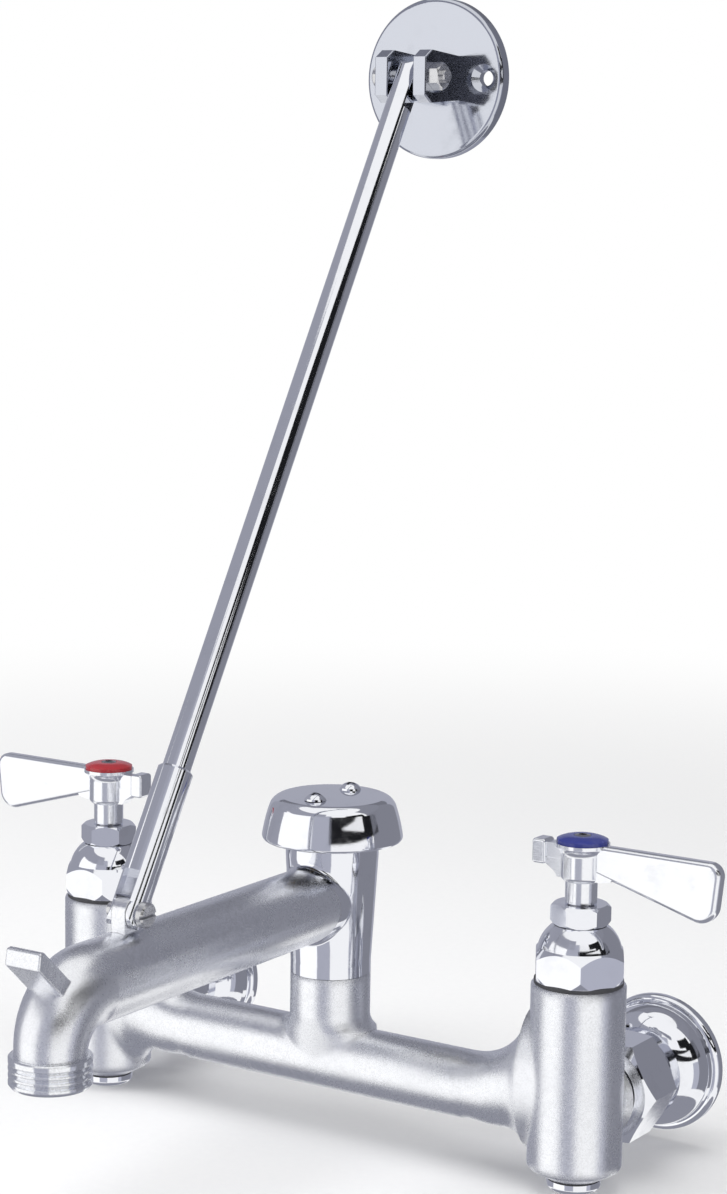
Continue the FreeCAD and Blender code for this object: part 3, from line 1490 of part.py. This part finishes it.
def leaned(label, thing):
    return part(label, place(thing, y=LUG_Y, z=LUG_Z, axis=(1, 0, 0), angle=LEAN))


def across(name, radius, length, z="0"):
    """A round bar along X, centred on the brace's middle plane."""
    return rod(name, radius, length, x=f"-({length}) / 2", z=z, axis=(0, 1, 0), angle="90")


def brace_sleeve():
    outline = [
        ("0", "-fork_radius"),
        ("fork_radius", "-fork_radius"),
        ("fork_radius", "sleeve_length - 0.8"),
        ("fork_radius - 0.8", "sleeve_length"),
        ("0", "sleeve_length"),
    ]
    tube = turned("sleeve_tube", outline)
    rounding = joined(
        "fork_rounding",
        [
            across("fork_end", "fork_end_radius", "4 * fork_radius"),
            box("fork_above", "4 * fork_radius", "2 * fork_radius", "2 * sleeve_length", z="fork_end_radius / 2"),
        ],
    )
    shaped = common("sleeve_shaped", tube, rounding)
    slot = box(
        "fork_slot",
        "lug_thickness + 0.4",
        "4 * fork_radius",
        "fork_depth + 3 * fork_radius",
        z="-3 * fork_radius",
    )
    bore_low = "(fork_depth + fork_floor)"
    bore = rod("sleeve_bore", "rod_radius + shaft_gap", f"sleeve_length - {bore_low} + past", z=bore_low)
    pin = across("fork_hole", "pivot_radius + thread_gap", "4 * fork_radius")
    return leaned("brace_sleeve", cut("sleeve", shaped, [slot, bore, pin]))


def headed_screw(name, length, head_radius, head):
    """A screw along +X: its head starts at x = 0 and its shank runs back from there."""
    outline = [
        ("0", f"-({length})"),
        ("pivot_radius", f"-({length})"),
        ("pivot_radius", "0"),
        (head_radius, "0"),
        (head_radius, f"{head} - 0.6"),
        (f"{head_radius} - 0.6", head),
        ("0", head),
    ]
    return turned(name, outline)


def brace_lower_screw():
    screw = headed_screw("lower_screw_blank", "2 * fork_radius + 1.2", "pivot_head_radius", "pivot_head")
    slot = box("lower_screw_slot", "1.2", "through", "1.4", z="pivot_head - 1")
    piece = cut("lower_screw", screw, [slot])
    return part(
        "brace_lower_screw", place(piece, x="fork_radius + 0.05", y=LUG_Y, z=LUG_Z, axis=(0, 1, 0), angle="90")
    )


def brace_rod():
    top = BRACE_LENGTH
    eye = "(rod_radius + 0.6)"
    outline = [
        ("0", "rod_start"),
        ("rod_radius - 0.6", "rod_start"),
        ("rod_radius", "rod_start + 0.6"),
        ("rod_radius", f"{top} + {eye}"),
        ("0", f"{top} + {eye}"),
    ]
    bar = turned("rod_bar", outline)
    keep = joined(
        "rod_keep",
        [
            box("rod_below", "4 * rod_radius", "4 * rod_radius", f"{top} - rod_flat_length"),
            box(
                "rod_tongue",
                "rod_flat",
                "4 * rod_radius",
                "rod_flat_length + past",
                z=f"{top} - rod_flat_length - past",
            ),
            across("rod_eye", eye, "rod_flat", z=top),
        ],
    )
    shaped = common("rod_shaped", bar, keep)
    hole = across("rod_hole", "pivot_radius + shaft_gap", "through", z=top)
    return leaned("brace_rod", cut("rod", shaped, [hole]))


def brace_flange():
    disc = turned(
        "flange_disc",
        [
            ("0", "0"),
            ("brace_flange_radius", "0"),
            ("brace_flange_radius", "brace_flange_thickness - brace_flange_edge"),
            (
                "brace_flange_radius - brace_flange_edge",
                "brace_flange_thickness",
                "brace_flange_edge",
                -1,
            ),
            ("0", "brace_flange_thickness"),
        ],
    )
    front = "(pivot_off_wall + ear_stand)"
    ears = []
    for index, face in enumerate((-1, 1)):
        ear = slab(
            f"ear_{index}",
            "YZ_Plane",
            [
                ("-ear_root_height / 2", "brace_flange_thickness - 1"),
                ("ear_root_height / 2", "brace_flange_thickness - 1"),
                ("ear_height / 2", f"{front} - ear_cut - 1.5"),
                ("ear_height / 2 - ear_cut", front),
                ("-ear_height / 2 + ear_cut", front),
                ("-ear_height / 2", f"{front} - ear_cut - 1.5"),
            ],
            "ear_thickness",
        )
        high = num(front) - 8
        soften(
            ear,
            f"ear_rounding_{index}",
            "ear_edge",
            lambda e: e.BoundBox.ZMin > high and is_rim(e, "ear_thickness", "X"),
        )
        ears.append(place(ear, x=f"{face} * (ear_gap + ear_thickness) / 2"))
    solid = joined("flange_solid", [disc] + ears)
    holes = [across("ear_hole", "pivot_radius + thread_gap", "through", z="pivot_off_wall")]
    for index, face in enumerate((-1, 1)):
        sink = turned(
            f"wall_hole_{index}",
            [
                ("0", "-past"),
                ("wall_hole_radius", "-past"),
                ("wall_hole_radius", "brace_flange_thickness - (wall_hole_sink - wall_hole_radius)"),
                ("wall_hole_sink", "brace_flange_thickness"),
                ("wall_hole_sink", "brace_flange_thickness + past"),
                ("0", "brace_flange_thickness + past"),
            ],
        )
        holes.append(place(sink, x=f"{face} * wall_hole_spacing / 2"))
    piece = cut("wall_flange", solid, holes)
    return part("brace_wall_flange", place(piece, z="brace_height", axis=(1, 0, 0), angle="90"))


EAR_SIDE = "(ear_gap / 2 + ear_thickness)"


def brace_upper_bolt():
    length = f"2 * {EAR_SIDE} + nut_height + 1.6"
    screw = headed_screw("upper_bolt", length, "pivot_head_radius", "pivot_head")
    return part(
        "brace_upper_bolt",
        place(
            screw, x=f"-{EAR_SIDE} - 0.05", y="-pivot_off_wall", z="brace_height", axis=(0, 1, 0), angle="-90"
        ),
    )


def brace_upper_nut():
    corner = f"(nut_flats / 2 * {CORNER})"
    outline = [
        ("pivot_radius + thread_gap", "0"),
        (corner, "0"),
        (corner, "nut_height - 0.7"),
        (f"{corner} - 0.8", "nut_height"),
        ("pivot_radius + thread_gap", "nut_height"),
    ]
    blank = nut_blank("upper_nut", outline, "nut_flats", "0", "nut_height")
    return part(
        "brace_upper_nut",
        place(
            blank, x=f"{EAR_SIDE} + 0.05", y="-pivot_off_wall", z="brace_height", axis=(0, 1, 0), angle="90"
        ),
    )


# ---------------------------------------------------------------------------------------------------------------
# Assembly
# ---------------------------------------------------------------------------------------------------------------
faucet_body()
for side, sign in SIDES:
    for maker in (
        inlet_flange,
        union_washer,
        retaining_ring,
        coupling_nut,
        bottom_plug,
        plug_seal,
        valve_seat,
        seat_washer,
        washer_screw,
        washer_holder,
        spindle,
        bonnet_gasket,
        bonnet,
        packing,
        packing_nut,
        lever,
        index_ring,
        handle_screw,
    ):
        maker(side, sign)
vacuum_breaker()
breaker_seal()
breaker_float()
float_seal()
air_seat()
breaker_cap()
cap_screws()
spout()
spout_seal()
brace_sleeve()
brace_lower_screw()
brace_rod()
brace_flange()
brace_upper_bolt()
brace_upper_nut()
doc.recompute()

faults = []
for thing in doc.Objects:
    if "Invalid" in thing.State or "Error" in thing.State:
        faults.append(f"{thing.Label}: {thing.State}")
for thing in FINISHED:
    if thing.Shape.isNull() or not thing.Shape.isValid():
        faults.append(f"{thing.Label}: no valid shape")
if faults:
    raise RuntimeError("; ".join(faults))

os.makedirs("parts", exist_ok=True)
for thing in FINISHED:
    thing.Shape.exportStep(f"parts/{thing.Label}.step")
    bounds = thing.Shape.BoundBox
    print(
        f"{thing.Label}: {len(thing.Shape.Solids)} solid(s), {thing.Shape.Volume:.0f} mm3, "
        f"z {bounds.ZMin:.1f} to {bounds.ZMax:.1f}"
    )
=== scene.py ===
# %% [markdown]
# # A commercial wall faucet
# The faucet hangs on a wall by its two inlet unions and a long brace. Its casting and spout are
# satin chrome over brass, and nearly all the rest is polished chrome. Every piece comes from the
# CAD frame at its real size, in metres, with +Z up, the wall at y = 0 and the faucet standing out
# towards -Y. The shapes are finished there, so this script is about surfaces, light and the camera.

# %% Load the frame
import json
import math
import bpy
from mathutils import Matrix, Vector


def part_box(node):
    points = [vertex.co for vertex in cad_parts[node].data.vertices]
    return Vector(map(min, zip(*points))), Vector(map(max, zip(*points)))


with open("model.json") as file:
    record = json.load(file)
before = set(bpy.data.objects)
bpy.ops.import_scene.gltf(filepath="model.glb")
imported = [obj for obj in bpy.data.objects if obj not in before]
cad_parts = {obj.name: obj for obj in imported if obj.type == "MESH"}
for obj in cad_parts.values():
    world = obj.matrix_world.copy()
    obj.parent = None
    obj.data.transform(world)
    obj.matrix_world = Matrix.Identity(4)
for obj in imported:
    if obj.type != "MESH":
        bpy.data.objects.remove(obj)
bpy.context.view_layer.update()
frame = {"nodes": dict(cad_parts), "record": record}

NODES = frame["nodes"]

# %% [markdown]
# ## The camera
# The photograph was taken with a long lens from the right, a little above the valves. A camera is
# three directions and a place: where it looks from, what is to its right and what is up. Blender's
# camera looks along its own -Z, so those directions become the columns of its matrix. The numbers
# come from where the faucet's own sizes fall in the photograph. In an upright frame the sensor's
# width is laid along the frame's height, so the lens is worked out from the height.

# %% Camera
AZIMUTH, ELEVATION, ROLL = (math.radians(angle) for angle in (32.83, 8.244, 0.891))
TARGET = Vector((0.006477, -0.056446, 0.167314))
DISTANCE = 0.999764
FOCAL_PX, FRAME_HEIGHT_PX = 2810.6, 1194
SENSOR_MM = 36

back = Vector((
    math.sin(AZIMUTH) * math.cos(ELEVATION),
    -math.cos(AZIMUTH) * math.cos(ELEVATION),
    math.sin(ELEVATION),
))
level = Vector((math.cos(AZIMUTH), math.sin(AZIMUTH), 0))
upright = back.cross(level)
right = level * math.cos(ROLL) + upright * math.sin(ROLL)
up = upright * math.cos(ROLL) - level * math.sin(ROLL)

camera_data = bpy.data.cameras.new("photo_camera")
camera_data.sensor_width = SENSOR_MM
camera_data.lens = FOCAL_PX * SENSOR_MM / FRAME_HEIGHT_PX
camera = bpy.data.objects.new("photo_camera", camera_data)
bpy.context.scene.collection.objects.link(camera)
turn = Matrix((right, up, back)).transposed().to_4x4()
camera.matrix_world = Matrix.Translation(TARGET + back * DISTANCE) @ turn
bpy.context.scene.camera = camera
camera_place = [round(v, 3) for v in camera.matrix_world.translation]
print("lens:", round(camera_data.lens, 2), "mm at", camera_place)

# %% [markdown]
# ## Shader maths in plain Python
# Materials here are node graphs, and a graph is easier to read as a formula. `Value` wraps one
# output socket, and its operators add Math nodes, so `1 - mask * 0.3` is two nodes. Colours go
# through Mix nodes, because a Math node would turn them grey.


# %% Value
class Value:
    """One output socket of a node, with arithmetic."""

    def __init__(self, graph, socket):
        self.graph = graph
        self.socket = socket

    def math(self, operation, first, second):
        settings = {"operation": operation}
        return self.graph.node("ShaderNodeMath", settings, {0: first, 1: second})

    def __add__(self, other):
        return self.math("ADD", self, other)

    def __sub__(self, other):
        return self.math("SUBTRACT", self, other)

    def __mul__(self, other):
        return self.math("MULTIPLY", self, other)

    def __rsub__(self, other):
        return self.math("SUBTRACT", other, self)

    __radd__ = __add__
    __rmul__ = __mul__

    def ramp(self, low, high, start=0.0, stop=1.0):
        """Start where this is below low, stop where it is above high, smooth between."""
        return self.graph.node(
            "ShaderNodeMapRange",
            {"interpolation_type": "SMOOTHSTEP"},
            {"Value": self, "From Min": low, "From Max": high, "To Min": start, "To Max": stop},
        )


print("operators: + - *")

# %% [markdown]
# ## Graphs and recipes
# `Graph` is the node tree of a material or of the world, and its `node` method is the one way in:
# it takes a node's type, its settings and what goes into its sockets. `Recipe` is the graph of one
# material, with short methods for the patterns that metal, rubber and plastic need.


# %% Graph
class Graph:
    """The node tree of a material or a world."""

    def __init__(self, owner):
        owner.use_nodes = True
        self.tree = owner.node_tree

    def node(self, kind, settings=None, inputs=None, output=0):
        """Add a node, set it up, fill its sockets with values or links, and give one output."""
        made = self.tree.nodes.new(kind)
        for key, value in (settings or {}).items():
            setattr(made, key, value)
        for key, value in (inputs or {}).items():
            self.feed(made.inputs[key], value)
        return Value(self, made.outputs[output])

    def feed(self, socket, value):
        if isinstance(value, Value):
            self.tree.links.new(value.socket, socket)
        else:
            socket.default_value = value


print("graph ready")


# %% Recipe
def rgb(tint, factor=1.0):
    """A tint, lighter or darker by a factor, as a colour socket takes it."""
    return (*(channel * factor for channel in tint), 1.0)


class Recipe(Graph):
    """One material, and the nodes in it."""

    def __init__(self, name):
        self.material = bpy.data.materials.new(name)
        super().__init__(self.material)
        self.shader = self.tree.nodes["Principled BSDF"]
        self.place = self.node("ShaderNodeTexCoord", output="Object")

    def set(self, **sockets):
        """Set or feed the shader's own sockets: underscores in a name stand for spaces."""
        for name, value in sockets.items():
            self.feed(self.shader.inputs[name.replace("_", " ")], value)

    def height(self):
        """How high a point is over the inlets, in metres."""
        return self.node("ShaderNodeSeparateXYZ", inputs={"Vector": self.place}, output="Z")

    def stretched(self, scale):
        """Object coordinates stretched along the axes, for buffed and turned surfaces."""
        return self.node("ShaderNodeMapping", inputs={"Vector": self.place, "Scale": scale})

    def noise(self, scale, detail=2.0, roughness=0.5, vector=None):
        """Noise with about that many blobs to the metre."""
        inputs = {
            "Vector": vector or self.place,
            "Scale": scale,
            "Detail": detail,
            "Roughness": roughness,
        }
        return self.node("ShaderNodeTexNoise", inputs=inputs)

    def colours(self, factor, first, second):
        """A colour between two, by a factor."""
        inputs = {0: factor, 6: first, 7: second}
        return self.node("ShaderNodeMix", {"data_type": "RGBA"}, inputs, output=2)

    def bump(self, height, depth, strength, eased=0.0):
        """Raise the surface by a pattern, over edges that are eased to a radius."""
        inputs = {"Height": height, "Distance": depth, "Strength": strength}
        if eased:
            inputs["Normal"] = self.node("ShaderNodeBevel", {"samples": 4}, {"Radius": eased})
        self.set(Normal=self.node("ShaderNodeBump", inputs=inputs))


print("recipe ready")

# %% [markdown]
# ## Satin chrome
# The casting and the spout are blasted with fine beads before they are plated. Beads leave
# thousands of shallow dents a few tenths of a millimetre wide, so the plate scatters light and
# looks pale and soft. Two noises make that: one at the dents' own size for the bump, and a broad
# one that lets the roughness drift, as it does where hands and cloths have smoothed the plate. The
# thread on the outlet is cut after the blasting, so it stays bright. Cast metal has no sharp
# creases where its tubes meet, and a Bevel node behind the bump rounds them in the light alone.

# %% Satin chrome
SATIN_TINT = (0.91, 0.92, 0.95)
DENTS_PER_METRE = 1500
DENT_DEPTH = 0.0001
HOSE_COLLAR_TOP = 0.0406
CUT_BORDER = 0.0004
CUT_ROUGHNESS = 0.13


def satin_chrome(name, polish, eased, thread_top=None):
    """Blasted chrome with its creases eased, and bright cut metal below thread_top."""
    look = Recipe(name)
    dents = look.noise(DENTS_PER_METRE, detail=3.0, roughness=0.65)
    clumps = look.noise(DENTS_PER_METRE / 4)
    drift = look.noise(28, detail=3.0, roughness=0.55)
    relief = dents * 0.8 + clumps * 0.15
    rough = drift.ramp(0.3, 0.7, polish - 0.04, polish + 0.05) + (dents - 0.5) * 0.12
    if thread_top is not None:
        blasted = look.height().ramp(thread_top - CUT_BORDER, thread_top + CUT_BORDER)
        relief = relief * blasted
        rough = rough * blasted + (1 - blasted) * CUT_ROUGHNESS
    look.bump(relief, DENT_DEPTH, 0.6, eased)
    shade = (dents * 0.7 + clumps * 0.3).ramp(0.36, 0.6)
    tone = look.colours(shade, rgb(SATIN_TINT, 0.9), rgb(SATIN_TINT))
    look.set(Base_Color=tone, Roughness=rough, Metallic=1.0)
    return look.material


MATERIALS = {
    "satin_casting": satin_chrome("satin_casting_look", 0.26, 0.004),
    "satin_spout": satin_chrome("satin_spout_look", 0.25, 0.0006, HOSE_COLLAR_TOP),
}
print("satin:", sorted(MATERIALS))

# %% [markdown]
# ## Polished chrome
# The other plated pieces are buffed first. Polished chrome is nearly a mirror, so what shows on it
# is the room, and what makes it believable is where it is less than perfect: a broad, slight wave
# left by the buffing wheel, hairline scratches that run round the turned pieces, and faint prints
# and water marks that raise the roughness in patches. The levers were buffed less than the nuts,
# and the brace's flange has a darker, greyer tint, which is painted shade that dims its reflection.

# %% Polished chrome
PLATE_TINT = (0.87, 0.88, 0.92)
LEVER_TINT = (0.90, 0.91, 0.94)
# The wall flange's darker tint is painted shade: it dims what the flange reflects.
FLANGE_PAINTED_SHADE_TINT = (0.58, 0.60, 0.66)
BUFFED_SLOTS = (
    "polished_union",
    "polished_bonnet",
    "polished_gland",
    "polished_plug",
    "polished_breaker",
    "polished_cap",
    "polished_brace",
)


def polished_chrome(name, tint=PLATE_TINT, gloss=0.06, wave=0.00003):
    """Buffed chrome: a slight wave, hairlines round the piece and a few dull prints."""
    look = Recipe(name)
    buffing = look.noise(60)
    hairs = look.noise(420, detail=3.0, roughness=0.6, vector=look.stretched((1, 1, 14)))
    marks = look.noise(75, detail=4.0, roughness=0.6).ramp(0.52, 0.72)
    look.bump(buffing + hairs * 0.12, wave, 0.6)
    rough = hairs.ramp(0.35, 0.7, gloss * 0.7, gloss * 1.5) + marks * 0.07
    tone = look.colours(marks, rgb(tint), rgb(tint, 0.94))
    look.set(Base_Color=tone, Roughness=rough, Metallic=1.0)
    return look.material


for slot in BUFFED_SLOTS:
    MATERIALS[slot] = polished_chrome(f"{slot}_look")
MATERIALS["polished_lever"] = polished_chrome("polished_lever_look", LEVER_TINT, 0.15, 0.00004)
# The wall flange gets the darker tint, painted shade that dims its reflection.
MATERIALS["polished_wall_flange"] = polished_chrome("polished_wall_flange_look", FLANGE_PAINTED_SHADE_TINT, 0.10)
print("polished:", [slot for slot in MATERIALS if slot.startswith("polished")])

# %% [markdown]
# ## Steel and brass
# Screws, bolts and retaining rings are stainless steel, duller than the plate round them. The
# parts in the valves are turned brass with fine rings from the lathe, which a noise squeezed along
# Z gives. A spindle is brass inside the valve and nickel-plated where it shows under its lever, so
# its colour changes at a height.

# %% Steel and brass
BRASS_TINT = (0.80, 0.63, 0.34)
NICKEL_TINT = (0.45, 0.45, 0.48)
NICKEL_START = 0.062
RING_DEPTH = 0.00004
BRASS_RINGS = 9
STEEL_RINGS = 3


def lathe_rings(look, tightness):
    """Fine rings round the Z axis, raised on the surface."""
    rings = look.noise(260, vector=look.stretched((0.4, 0.4, tightness)))
    look.bump(rings, RING_DEPTH, 0.5)
    return rings


def bare_metal(name, tint, gloss, tightness):
    """Turned metal without plate, with stains."""
    look = Recipe(name)
    rings = lathe_rings(look, tightness)
    stains = look.noise(90, detail=3.0, roughness=0.6).ramp(0.45, 0.7)
    rough = rings.ramp(0.3, 0.7, gloss - 0.06, gloss + 0.08) + stains * 0.1
    tone = look.colours(stains, rgb(tint), rgb(tint, 0.8))
    look.set(Base_Color=tone, Roughness=rough, Metallic=1.0)
    return look.material


def part_plated(name, start):
    """Turned brass, with a nickel plate above a height."""
    look = Recipe(name)
    rough = lathe_rings(look, BRASS_RINGS).ramp(0.3, 0.7, 0.18, 0.32)
    plated = look.height().ramp(start, start + 0.001)
    tone = look.colours(plated, rgb(BRASS_TINT), rgb(NICKEL_TINT))
    look.set(Base_Color=tone, Roughness=rough, Metallic=1.0)
    return look.material


for slot, tint, gloss, tightness in (
    ("steel_fastener", (0.66, 0.66, 0.67), 0.22, STEEL_RINGS),
    ("steel_screw", (0.42, 0.42, 0.44), 0.34, STEEL_RINGS),
    ("steel_ring", (0.5, 0.5, 0.52), 0.3, STEEL_RINGS),
    ("brass_inner", BRASS_TINT, 0.24, BRASS_RINGS),
):
    MATERIALS[slot] = bare_metal(f"{slot}_look", tint, gloss, tightness)
SPINDLE_LOOK = part_plated("spindle_look", NICKEL_START)
print("bare metal:", [slot for slot in MATERIALS if slot.startswith(("steel", "brass"))])

# %% [markdown]
# ## Rubber, packing and plastic
# Washers and gaskets are black rubber and the packing is greased cord, both a little dusty. The
# float is plain white plastic. The index rings are moulded, red for hot and blue for cold, glossy
# under a thin clear coat. One recipe does for all four: a fine skin from the mould for the bump,
# and dust that pales the colour and dulls the gloss in patches.


# %% Rubber, packing and plastic
def moulded(name, tint, gloss, skin_scale, skin_depth, coat=0.0):
    """A moulded piece with the mould's skin and a little dust."""
    look = Recipe(name)
    skin = look.noise(skin_scale)
    dust = look.noise(45, detail=4.0, roughness=0.6).ramp(0.45, 0.75)
    look.bump(skin, skin_depth, 0.5)
    rough = skin.ramp(0.3, 0.7, gloss - 0.05, gloss + 0.06) + dust * 0.08
    dusty = [0.9 * channel + 0.04 for channel in tint]
    tone = look.colours(dust, rgb(tint), rgb(dusty))
    look.set(Base_Color=tone, Roughness=rough, Coat_Weight=coat)
    return look.material


for slot, *facts in (
    ("rubber_seal", (0.045, 0.045, 0.05), 0.6, 900, 0.00006),
    ("packing", (0.05, 0.05, 0.052), 0.45, 1400, 0.00008),
    ("float_plastic", (0.78, 0.78, 0.75), 0.35, 300, 0.00002),
    ("red_index", (0.34, 0.016, 0.022), 0.2, 220, 0.00002, 0.3),
    ("blue_index", (0.018, 0.028, 0.20), 0.2, 220, 0.00002, 0.3),
):
    MATERIALS[slot] = moulded(f"{slot}_look", *facts)
print("materials:", len(MATERIALS))

# %% [markdown]
# ## Dress the frame
# Each CAD node came with a plain material in its first slot. The record says which finish each
# node has, so one loop puts the better material there and leaves the mesh alone.

# %% Assign the materials
for entry in frame["record"]["subparts"]:
    is_spindle = entry["node"].endswith("_spindle")
    look = SPINDLE_LOOK if is_spindle else MATERIALS[entry["material_slot"]]
    for slot in NODES[entry["node"]].material_slots:
        slot.material = look

# %% [markdown]
# ## The floor
# The faucet needs no more than a plain sheet of pale paper under it, at the height of its lowest
# plugs, to catch a soft shadow. A sheet lit by lamps never quite matches the background, and its
# far edge would draw a line, so away from the faucet the camera sees it glow exactly white. Metal
# doesn't mirror it: the cards further down are what the metal sees.

# %% Floor
FLOOR_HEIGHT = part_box("cold_bottom_plug")[0][2]
FLOOR_RADIUS = 9
PAPER_SHADE, FIBRE_SHADE = (0.84, 0.84, 0.85), (0.88, 0.88, 0.88)
FADE_FROM, FADE_TO = 0.3, 1.1

bpy.ops.object.select_all(action="DESELECT")
bpy.ops.mesh.primitive_circle_add(
    vertices=96, radius=FLOOR_RADIUS, fill_type="NGON", location=(0, 0, FLOOR_HEIGHT)
)
floor = bpy.context.object
floor.name = "floor"
floor.visible_glossy = False

paper = Recipe("floor_paper")
fibres = paper.noise(300, detail=3.0, roughness=0.6)
paper.bump(fibres, 0.0001, 0.2)
paper_tone = paper.colours(fibres, rgb(PAPER_SHADE), rgb(FIBRE_SHADE))
paper.set(Base_Color=paper_tone, Roughness=0.9)
white = paper.node("ShaderNodeEmission", inputs={"Strength": 1.0})
from_middle = paper.node(
    "ShaderNodeVectorMath", {"operation": "LENGTH"}, {0: paper.place}, output="Value"
)
to_camera = paper.node("ShaderNodeLightPath", output="Is Camera Ray")
far = from_middle.ramp(FADE_FROM, FADE_TO) * to_camera
plain = Value(paper, paper.shader.outputs[0])
blend = paper.node("ShaderNodeMixShader", inputs={0: far, 1: plain, 2: white})
paper.feed(paper.tree.nodes["Material Output"].inputs["Surface"], blend)
floor.data.materials.append(paper.material)
print("floor at", round(FLOOR_HEIGHT, 4))

# %% [markdown]
# ## The lamps
# Three big soft lamps stand left, right and above, as in a small product studio. The left one is
# the strongest, so shadows fall softly to the right. Their size is what makes them soft. They are
# kept out of reflections, because on chrome each would show as one more hard white rectangle.

# %% Lamps
MIDDLE = (0, -0.1, 0.12)


def softbox(name, place, width, height, power):
    """A soft lamp that faces the faucet's middle."""
    lamp_data = bpy.data.lights.new(name, "AREA")
    lamp_data.shape = "RECTANGLE"
    lamp_data.size, lamp_data.size_y = width, height
    lamp_data.energy = power
    lamp = bpy.data.objects.new(name, lamp_data)
    bpy.context.scene.collection.objects.link(lamp)
    lamp.location = place
    to_middle = Vector(MIDDLE) - Vector(place)
    lamp.rotation_euler = to_middle.to_track_quat("-Z", "Y").to_euler()
    lamp.visible_glossy = False
    print(name, power, "W")


softbox("left_softbox", (-1.1, -1.0, 0.75), 0.9, 1.2, 16)
softbox("right_softbox", (1.3, -0.5, 0.6), 0.7, 1.1, 8)
softbox("top_softbox", (0.0, -0.2, 1.6), 1.2, 1.2, 12)

# %% [markdown]
# ## The world
# The world is the white behind the faucet and the dim light from all round it. The camera and the
# metal see it at full white, and everything else is lit by less than half of that, so the shadow
# on the floor stays.

# %% World
FILL_LIGHT = 0.45

world = bpy.data.worlds.new("studio")
bpy.context.scene.world = world
sky = Graph(world)
background = sky.tree.nodes["Background"]
on_camera = sky.node("ShaderNodeLightPath", output="Is Camera Ray")
in_metal = sky.node("ShaderNodeLightPath", output="Is Glossy Ray")
full = sky.node("ShaderNodeMath", {"operation": "MAXIMUM"}, {0: on_camera, 1: in_metal})
inputs = {"Value": full, "To Min": FILL_LIGHT, "To Max": 1.0}
sky.feed(background.inputs["Strength"], sky.node("ShaderNodeMapRange", inputs=inputs))
background.inputs["Color"].default_value = rgb((1, 1, 1))
bpy.context.scene.view_settings.view_transform = "Standard"
print("fill light:", FILL_LIGHT)

# %% [markdown]
# ## The room that chrome sees
# Chrome shows its surroundings, so the room matters as much as the lamps. A photographer stands
# white, grey and black cards round a chrome piece to draw its edges, and these do the same: white
# on the left, grey in front, low and above, black flags with one white wedge on the right, and a
# dim room behind. They are curved round the faucet, so each is a range of directions, and they
# glow a little so that they need no light. Only reflections see them, so they never darken the
# floor or the picture. Grey cards are slightly blue, as grey paper is beside warm lamps.

# %% Bent cards
ROOM_X, ROOM_Y = 0, -0.1
CARD_FACES = 180
CARD_RADIUS = 1.5
COOL_GREY, NEUTRAL = (0.94, 0.96, 1.12), (1, 1, 1)
WHITE_FROM = 0.6


def show_only_in_metal(card, name, shade):
    """Name a card, make it glow with a shade, and hide it from all but reflections."""
    card.name = name
    card.visible_camera = False
    card.visible_diffuse = False
    card.visible_shadow = False
    paint = Recipe(f"{name}_paint")
    paint.set(Base_Color=rgb((0, 0, 0)), Roughness=1.0, Specular_IOR_Level=0.0)
    glow = rgb(COOL_GREY if shade < WHITE_FROM else NEUTRAL, shade)
    paint.set(Emission_Color=glow, Emission_Strength=1.0)
    card.data.materials.append(paint.material)


def direction(place):
    """Where a place of a card stands, in degrees: 0 is before the faucet and 90 to its right."""
    return math.degrees(math.atan2(place.x, -place.y))


def bent_card(name, first, last, low, high, shade, radius=CARD_RADIUS, pointed=False):
    """A card from direction first to last and from height low to high.

    A pointed card is a wedge that starts with almost no height.
    """
    bpy.ops.object.select_all(action="DESELECT")
    bpy.ops.mesh.primitive_cylinder_add(
        vertices=CARD_FACES,
        radius=radius,
        depth=high - low,
        end_fill_type="NOTHING",
        location=(ROOM_X, ROOM_Y, (low + high) / 2),
    )
    card = bpy.context.object
    bpy.ops.object.mode_set(mode="EDIT")
    bpy.ops.mesh.select_mode(type="FACE")
    bpy.ops.mesh.select_all(action="DESELECT")
    bpy.ops.object.mode_set(mode="OBJECT")
    for face in card.data.polygons:
        face.select = (direction(face.center) - first) % 360 > last - first
    bpy.ops.object.mode_set(mode="EDIT")
    bpy.ops.mesh.delete(type="FACE")
    bpy.ops.object.mode_set(mode="OBJECT")
    if pointed:
        one_face = 360 / CARD_FACES
        for vertex in card.data.vertices:
            vertex.co.z *= (direction(vertex.co) - first + one_face) / (last - first)
    show_only_in_metal(card, name, shade)


print("card helpers ready")

# %% Cards
# name, first and last direction, low and high edge in metres, shade
CARDS = (
    ("left_white", -66, -6, -0.8, 0.95, 1.15),
    ("front_grey", -6, 32, -0.9, 1.6, 0.46),
    ("upper_left_grey", -125, 18, 0.9, 2.3, 0.36),
    ("left_edge_grey", -120, -66, -0.9, 1.0, 0.36),
    ("right_band_black", 28, 109, 0.26, 0.78, 0.012),
    ("right_black", 80, 118, 0.26, 1.0, 0.012),
    ("upper_right_black", 62, 100, 0.9, 1.5, 0.012),
    ("right_low_grey", 88, 106, -0.9, 0.16, 0.5),
    ("right_back_dark", 106, 180, -0.9, 1.3, 0.25),
    ("left_back_grey", 180, 240, -0.9, 0.75, 0.42),
    ("high_back_dark", 106, 240, 1.3, 3.0, 0.27),
    ("left_back_dark", 180, 240, 0.75, 1.3, 0.2),
)
for card_facts in CARDS:
    bent_card(*card_facts)
bent_card("right_wedge_white", 50, 89, 0.40, 0.68, 0.9, radius=1.45, pointed=True)

LOW_GREY_RADIUS, LOW_GREY_HEIGHT = 0.9, -0.8
bpy.ops.object.select_all(action="DESELECT")
bpy.ops.mesh.primitive_circle_add(
    vertices=64,
    radius=LOW_GREY_RADIUS,
    fill_type="NGON",
    location=(ROOM_X, ROOM_Y, LOW_GREY_HEIGHT),
)
show_only_in_metal(bpy.context.object, "low_grey", 0.3)
print("cards:", len(CARDS) + 2)
